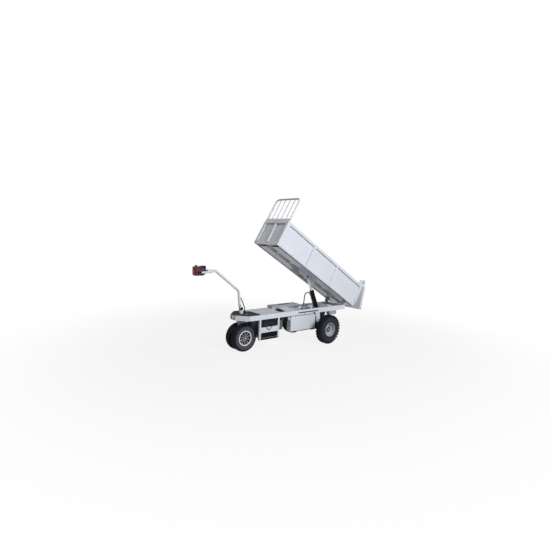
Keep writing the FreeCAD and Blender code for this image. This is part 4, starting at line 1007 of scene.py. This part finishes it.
class CART_OT_bed(bpy.types.Operator):
    """Latches and studs of the tailgate and bolts of the bed's walls"""
    bl_idname = "cart.bed"
    bl_label = "Bed and tailgate"

    def execute(self, context):
        latch = block("latch_plate", (8, 46), (262.8, 267), (6, 52), 0.0015)
        lever = [bar("lever", (16, 271, 20), (40, 271, 96), 4.5),
                 bar("pivot", (16, 266, 20), (16, 276, 20), 8)]
        fit(pair(latch), "bed_paint", "bed")
        fit(pair(joined("latch_lever", lever)), "bright_steel", "bed")
        stud = bar("gate_stud", (-58, BED_SIDE, -424), (-58, 274, -424), 7)
        fit(pair(stud), "bright_steel", "tailgate")
        places = [(BED_FRONT, y, h) for y in (-240, 0, 240) for h in (22, 356)]
        bolts("front_wall_bolts", places, AHEAD, "bed", 0.013)
        places = [(s, BED_SIDE, 17) for s in (120, 420, 720, 1020, 1320, 1620, 1860)]
        bolts("side_bolts", places, LEFT, "bed", 0.010)
        return {"FINISHED"}


# ---- stage ----
CAMERA_PLACE = (3.933, 4.460, 1.611)
CAMERA_AHEAD = (-0.6356, -0.7651, -0.1028)
CAMERA_ROLL = 0.039  # in radians
CAMERA_LENS = 26.72  # in millimetres
FLOOR_FADE = (1.6, 4.5)  # metres from the middle where the floor fades to white
FLOOR_WHITE = (0.86, 1.0)  # share of white at those places


def lamp(name, place, target, size, power, colour):
    """A large soft lamp turned to its target."""
    data = bpy.data.lights.new(name, "AREA")
    data.shape = "RECTANGLE"
    data.size, data.size_y = size
    data.energy = power
    data.color = linear(colour)[:3]
    made = placed(name, data)
    made.location = place
    made.rotation_euler = (Vector(target) - Vector(place)).to_track_quat("-Z", "Y").to_euler()


def floor_material():
    """Pale floor that keeps the cart's shadow and fades to white away from it."""
    material, tree, out = blank("pale_studio_floor")
    place = node(tree, "TexCoord")["Object"]
    away = node(tree, "VectorMath", [(place, 0)], operation="LENGTH")
    fade = node(tree, "MapRange", [(away["Value"], "Value")],
                interpolation_type="SMOOTHSTEP", in1=FLOOR_FADE[0], in2=FLOOR_FADE[1],
                in3=FLOOR_WHITE[0], in4=FLOOR_WHITE[1])
    path = node(tree, "LightPath")
    seen = path["Is Camera Ray"]
    for rays in ("Is Glossy Ray", "Is Transmission Ray"):
        seen = node(tree, "Math", [(seen, 0), (path[rays], 1)], operation="MAXIMUM")["Value"]
    share = node(tree, "Math", [(fade["Result"], 0), (seen, 1)], operation="MULTIPLY")
    matt = node(tree, "BsdfDiffuse", Color=linear("#b8b6b4"))
    white = node(tree, "Emission")
    both = node(tree, "MixShader",
                [(share["Value"], 0), (matt["BSDF"], 1), (white["Emission"], 2)])
    tree.links.new(both["Shader"], out)
    return material


def surroundings():
    """A world that is white to the camera and gives a dim warm light."""
    world = bpy.data.worlds.new("white_surroundings")
    world.use_nodes = True
    tree = world.node_tree
    tree.nodes.clear()
    path = node(tree, "LightPath")
    seen = node(tree, "Math", [(path["Is Camera Ray"], 0), (path["Is Transmission Ray"], 1)],
                operation="MAXIMUM")
    dim = node(tree, "Background", Strength=0.14, Color=linear("#fff0e4"))
    white = node(tree, "Background", Color=(1, 1, 1, 1))
    both = node(tree, "MixShader",
                [(seen["Value"], 0), (dim["Background"], 1), (white["Background"], 2)])
    out = tree.nodes.new("ShaderNodeOutputWorld")
    tree.links.new(both["Shader"], out.inputs["Surface"])
    return world


def camera():
    """The camera at its place, rolled a little about its view."""
    ahead = Vector(CAMERA_AHEAD).normalized()
    right = ahead.cross(Vector(UP)).normalized()
    data = bpy.data.cameras.new("camera")
    data.lens = CAMERA_LENS
    data.clip_end = 200
    eye = placed("camera", data)
    turn = Matrix((right, right.cross(ahead), -ahead)).transposed().to_4x4()
    eye.matrix_world = (Matrix.Translation(CAMERA_PLACE) @ turn
                        @ Matrix.Rotation(CAMERA_ROLL, 4, "Z"))
    return eye


class CART_OT_stage(bpy.types.Operator):
    """Floor, soft lamps, white surroundings and the camera"""
    bl_idname = "cart.stage"
    bl_label = "Stage"

    def execute(self, context):
        clear()
        bpy.ops.mesh.primitive_circle_add(vertices=96, radius=60, fill_type="NGON")
        floor = named("floor")
        floor.data.materials.append(floor_material())
        lamp("key", (0.2, 6.0, 4.4), (0, 0, 0.7), (4.0, 2.4), 450, "#f8fbff")
        lamp("top", (0.6, -3.2, 3.6), (0.4, 0, 0.5), (4.0, 3.0), 50, "#fdfdff")
        scene = context.scene
        scene.world = surroundings()
        scene.camera = camera()
        scene.view_settings.view_transform = "Standard"
        return {"FINISHED"}


STEPS = (CART_OT_stage, CART_OT_finishes, CART_OT_cords, CART_OT_rear_tyres,
         CART_OT_rear_rims, CART_OT_front_tyres, CART_OT_front_rims, CART_OT_deck,
         CART_OT_side_box, CART_OT_under_deck, CART_OT_pins, CART_OT_cylinder,
         CART_OT_head, CART_OT_tiller, CART_OT_bed)


class CART_PT_panel(bpy.types.Panel):
    """Lists the cart's sizes, colours and steps"""
    bl_idname = "CART_PT_panel"
    bl_label = "Electric Dump Cart"
    bl_space_type = "VIEW_3D"
    bl_region_type = "UI"
    bl_category = "Dump Cart"

    def draw(self, context):
        for group in (context.scene.cart_colours, context.scene.cart_sizes):
            for name in group.__annotations__:
                self.layout.prop(group, name)
        for step in STEPS:
            self.layout.operator(step.bl_idname)


CLASSES = (CartColours, CartSizes, *STEPS, CART_PT_panel)


def register():
    for kind in CLASSES:
        bpy.utils.register_class(kind)
    bpy.types.Scene.cart_colours = PointerProperty(type=CartColours)
    bpy.types.Scene.cart_sizes = PointerProperty(type=CartSizes)


def unregister():
    del bpy.types.Scene.cart_sizes
    del bpy.types.Scene.cart_colours
    for kind in reversed(CLASSES):
        bpy.utils.unregister_class(kind)


def main():
    register()
    for step in STEPS:
        getattr(bpy.ops.cart, step.bl_idname.split(".")[1])()


if __name__ == "__main__":
    main()
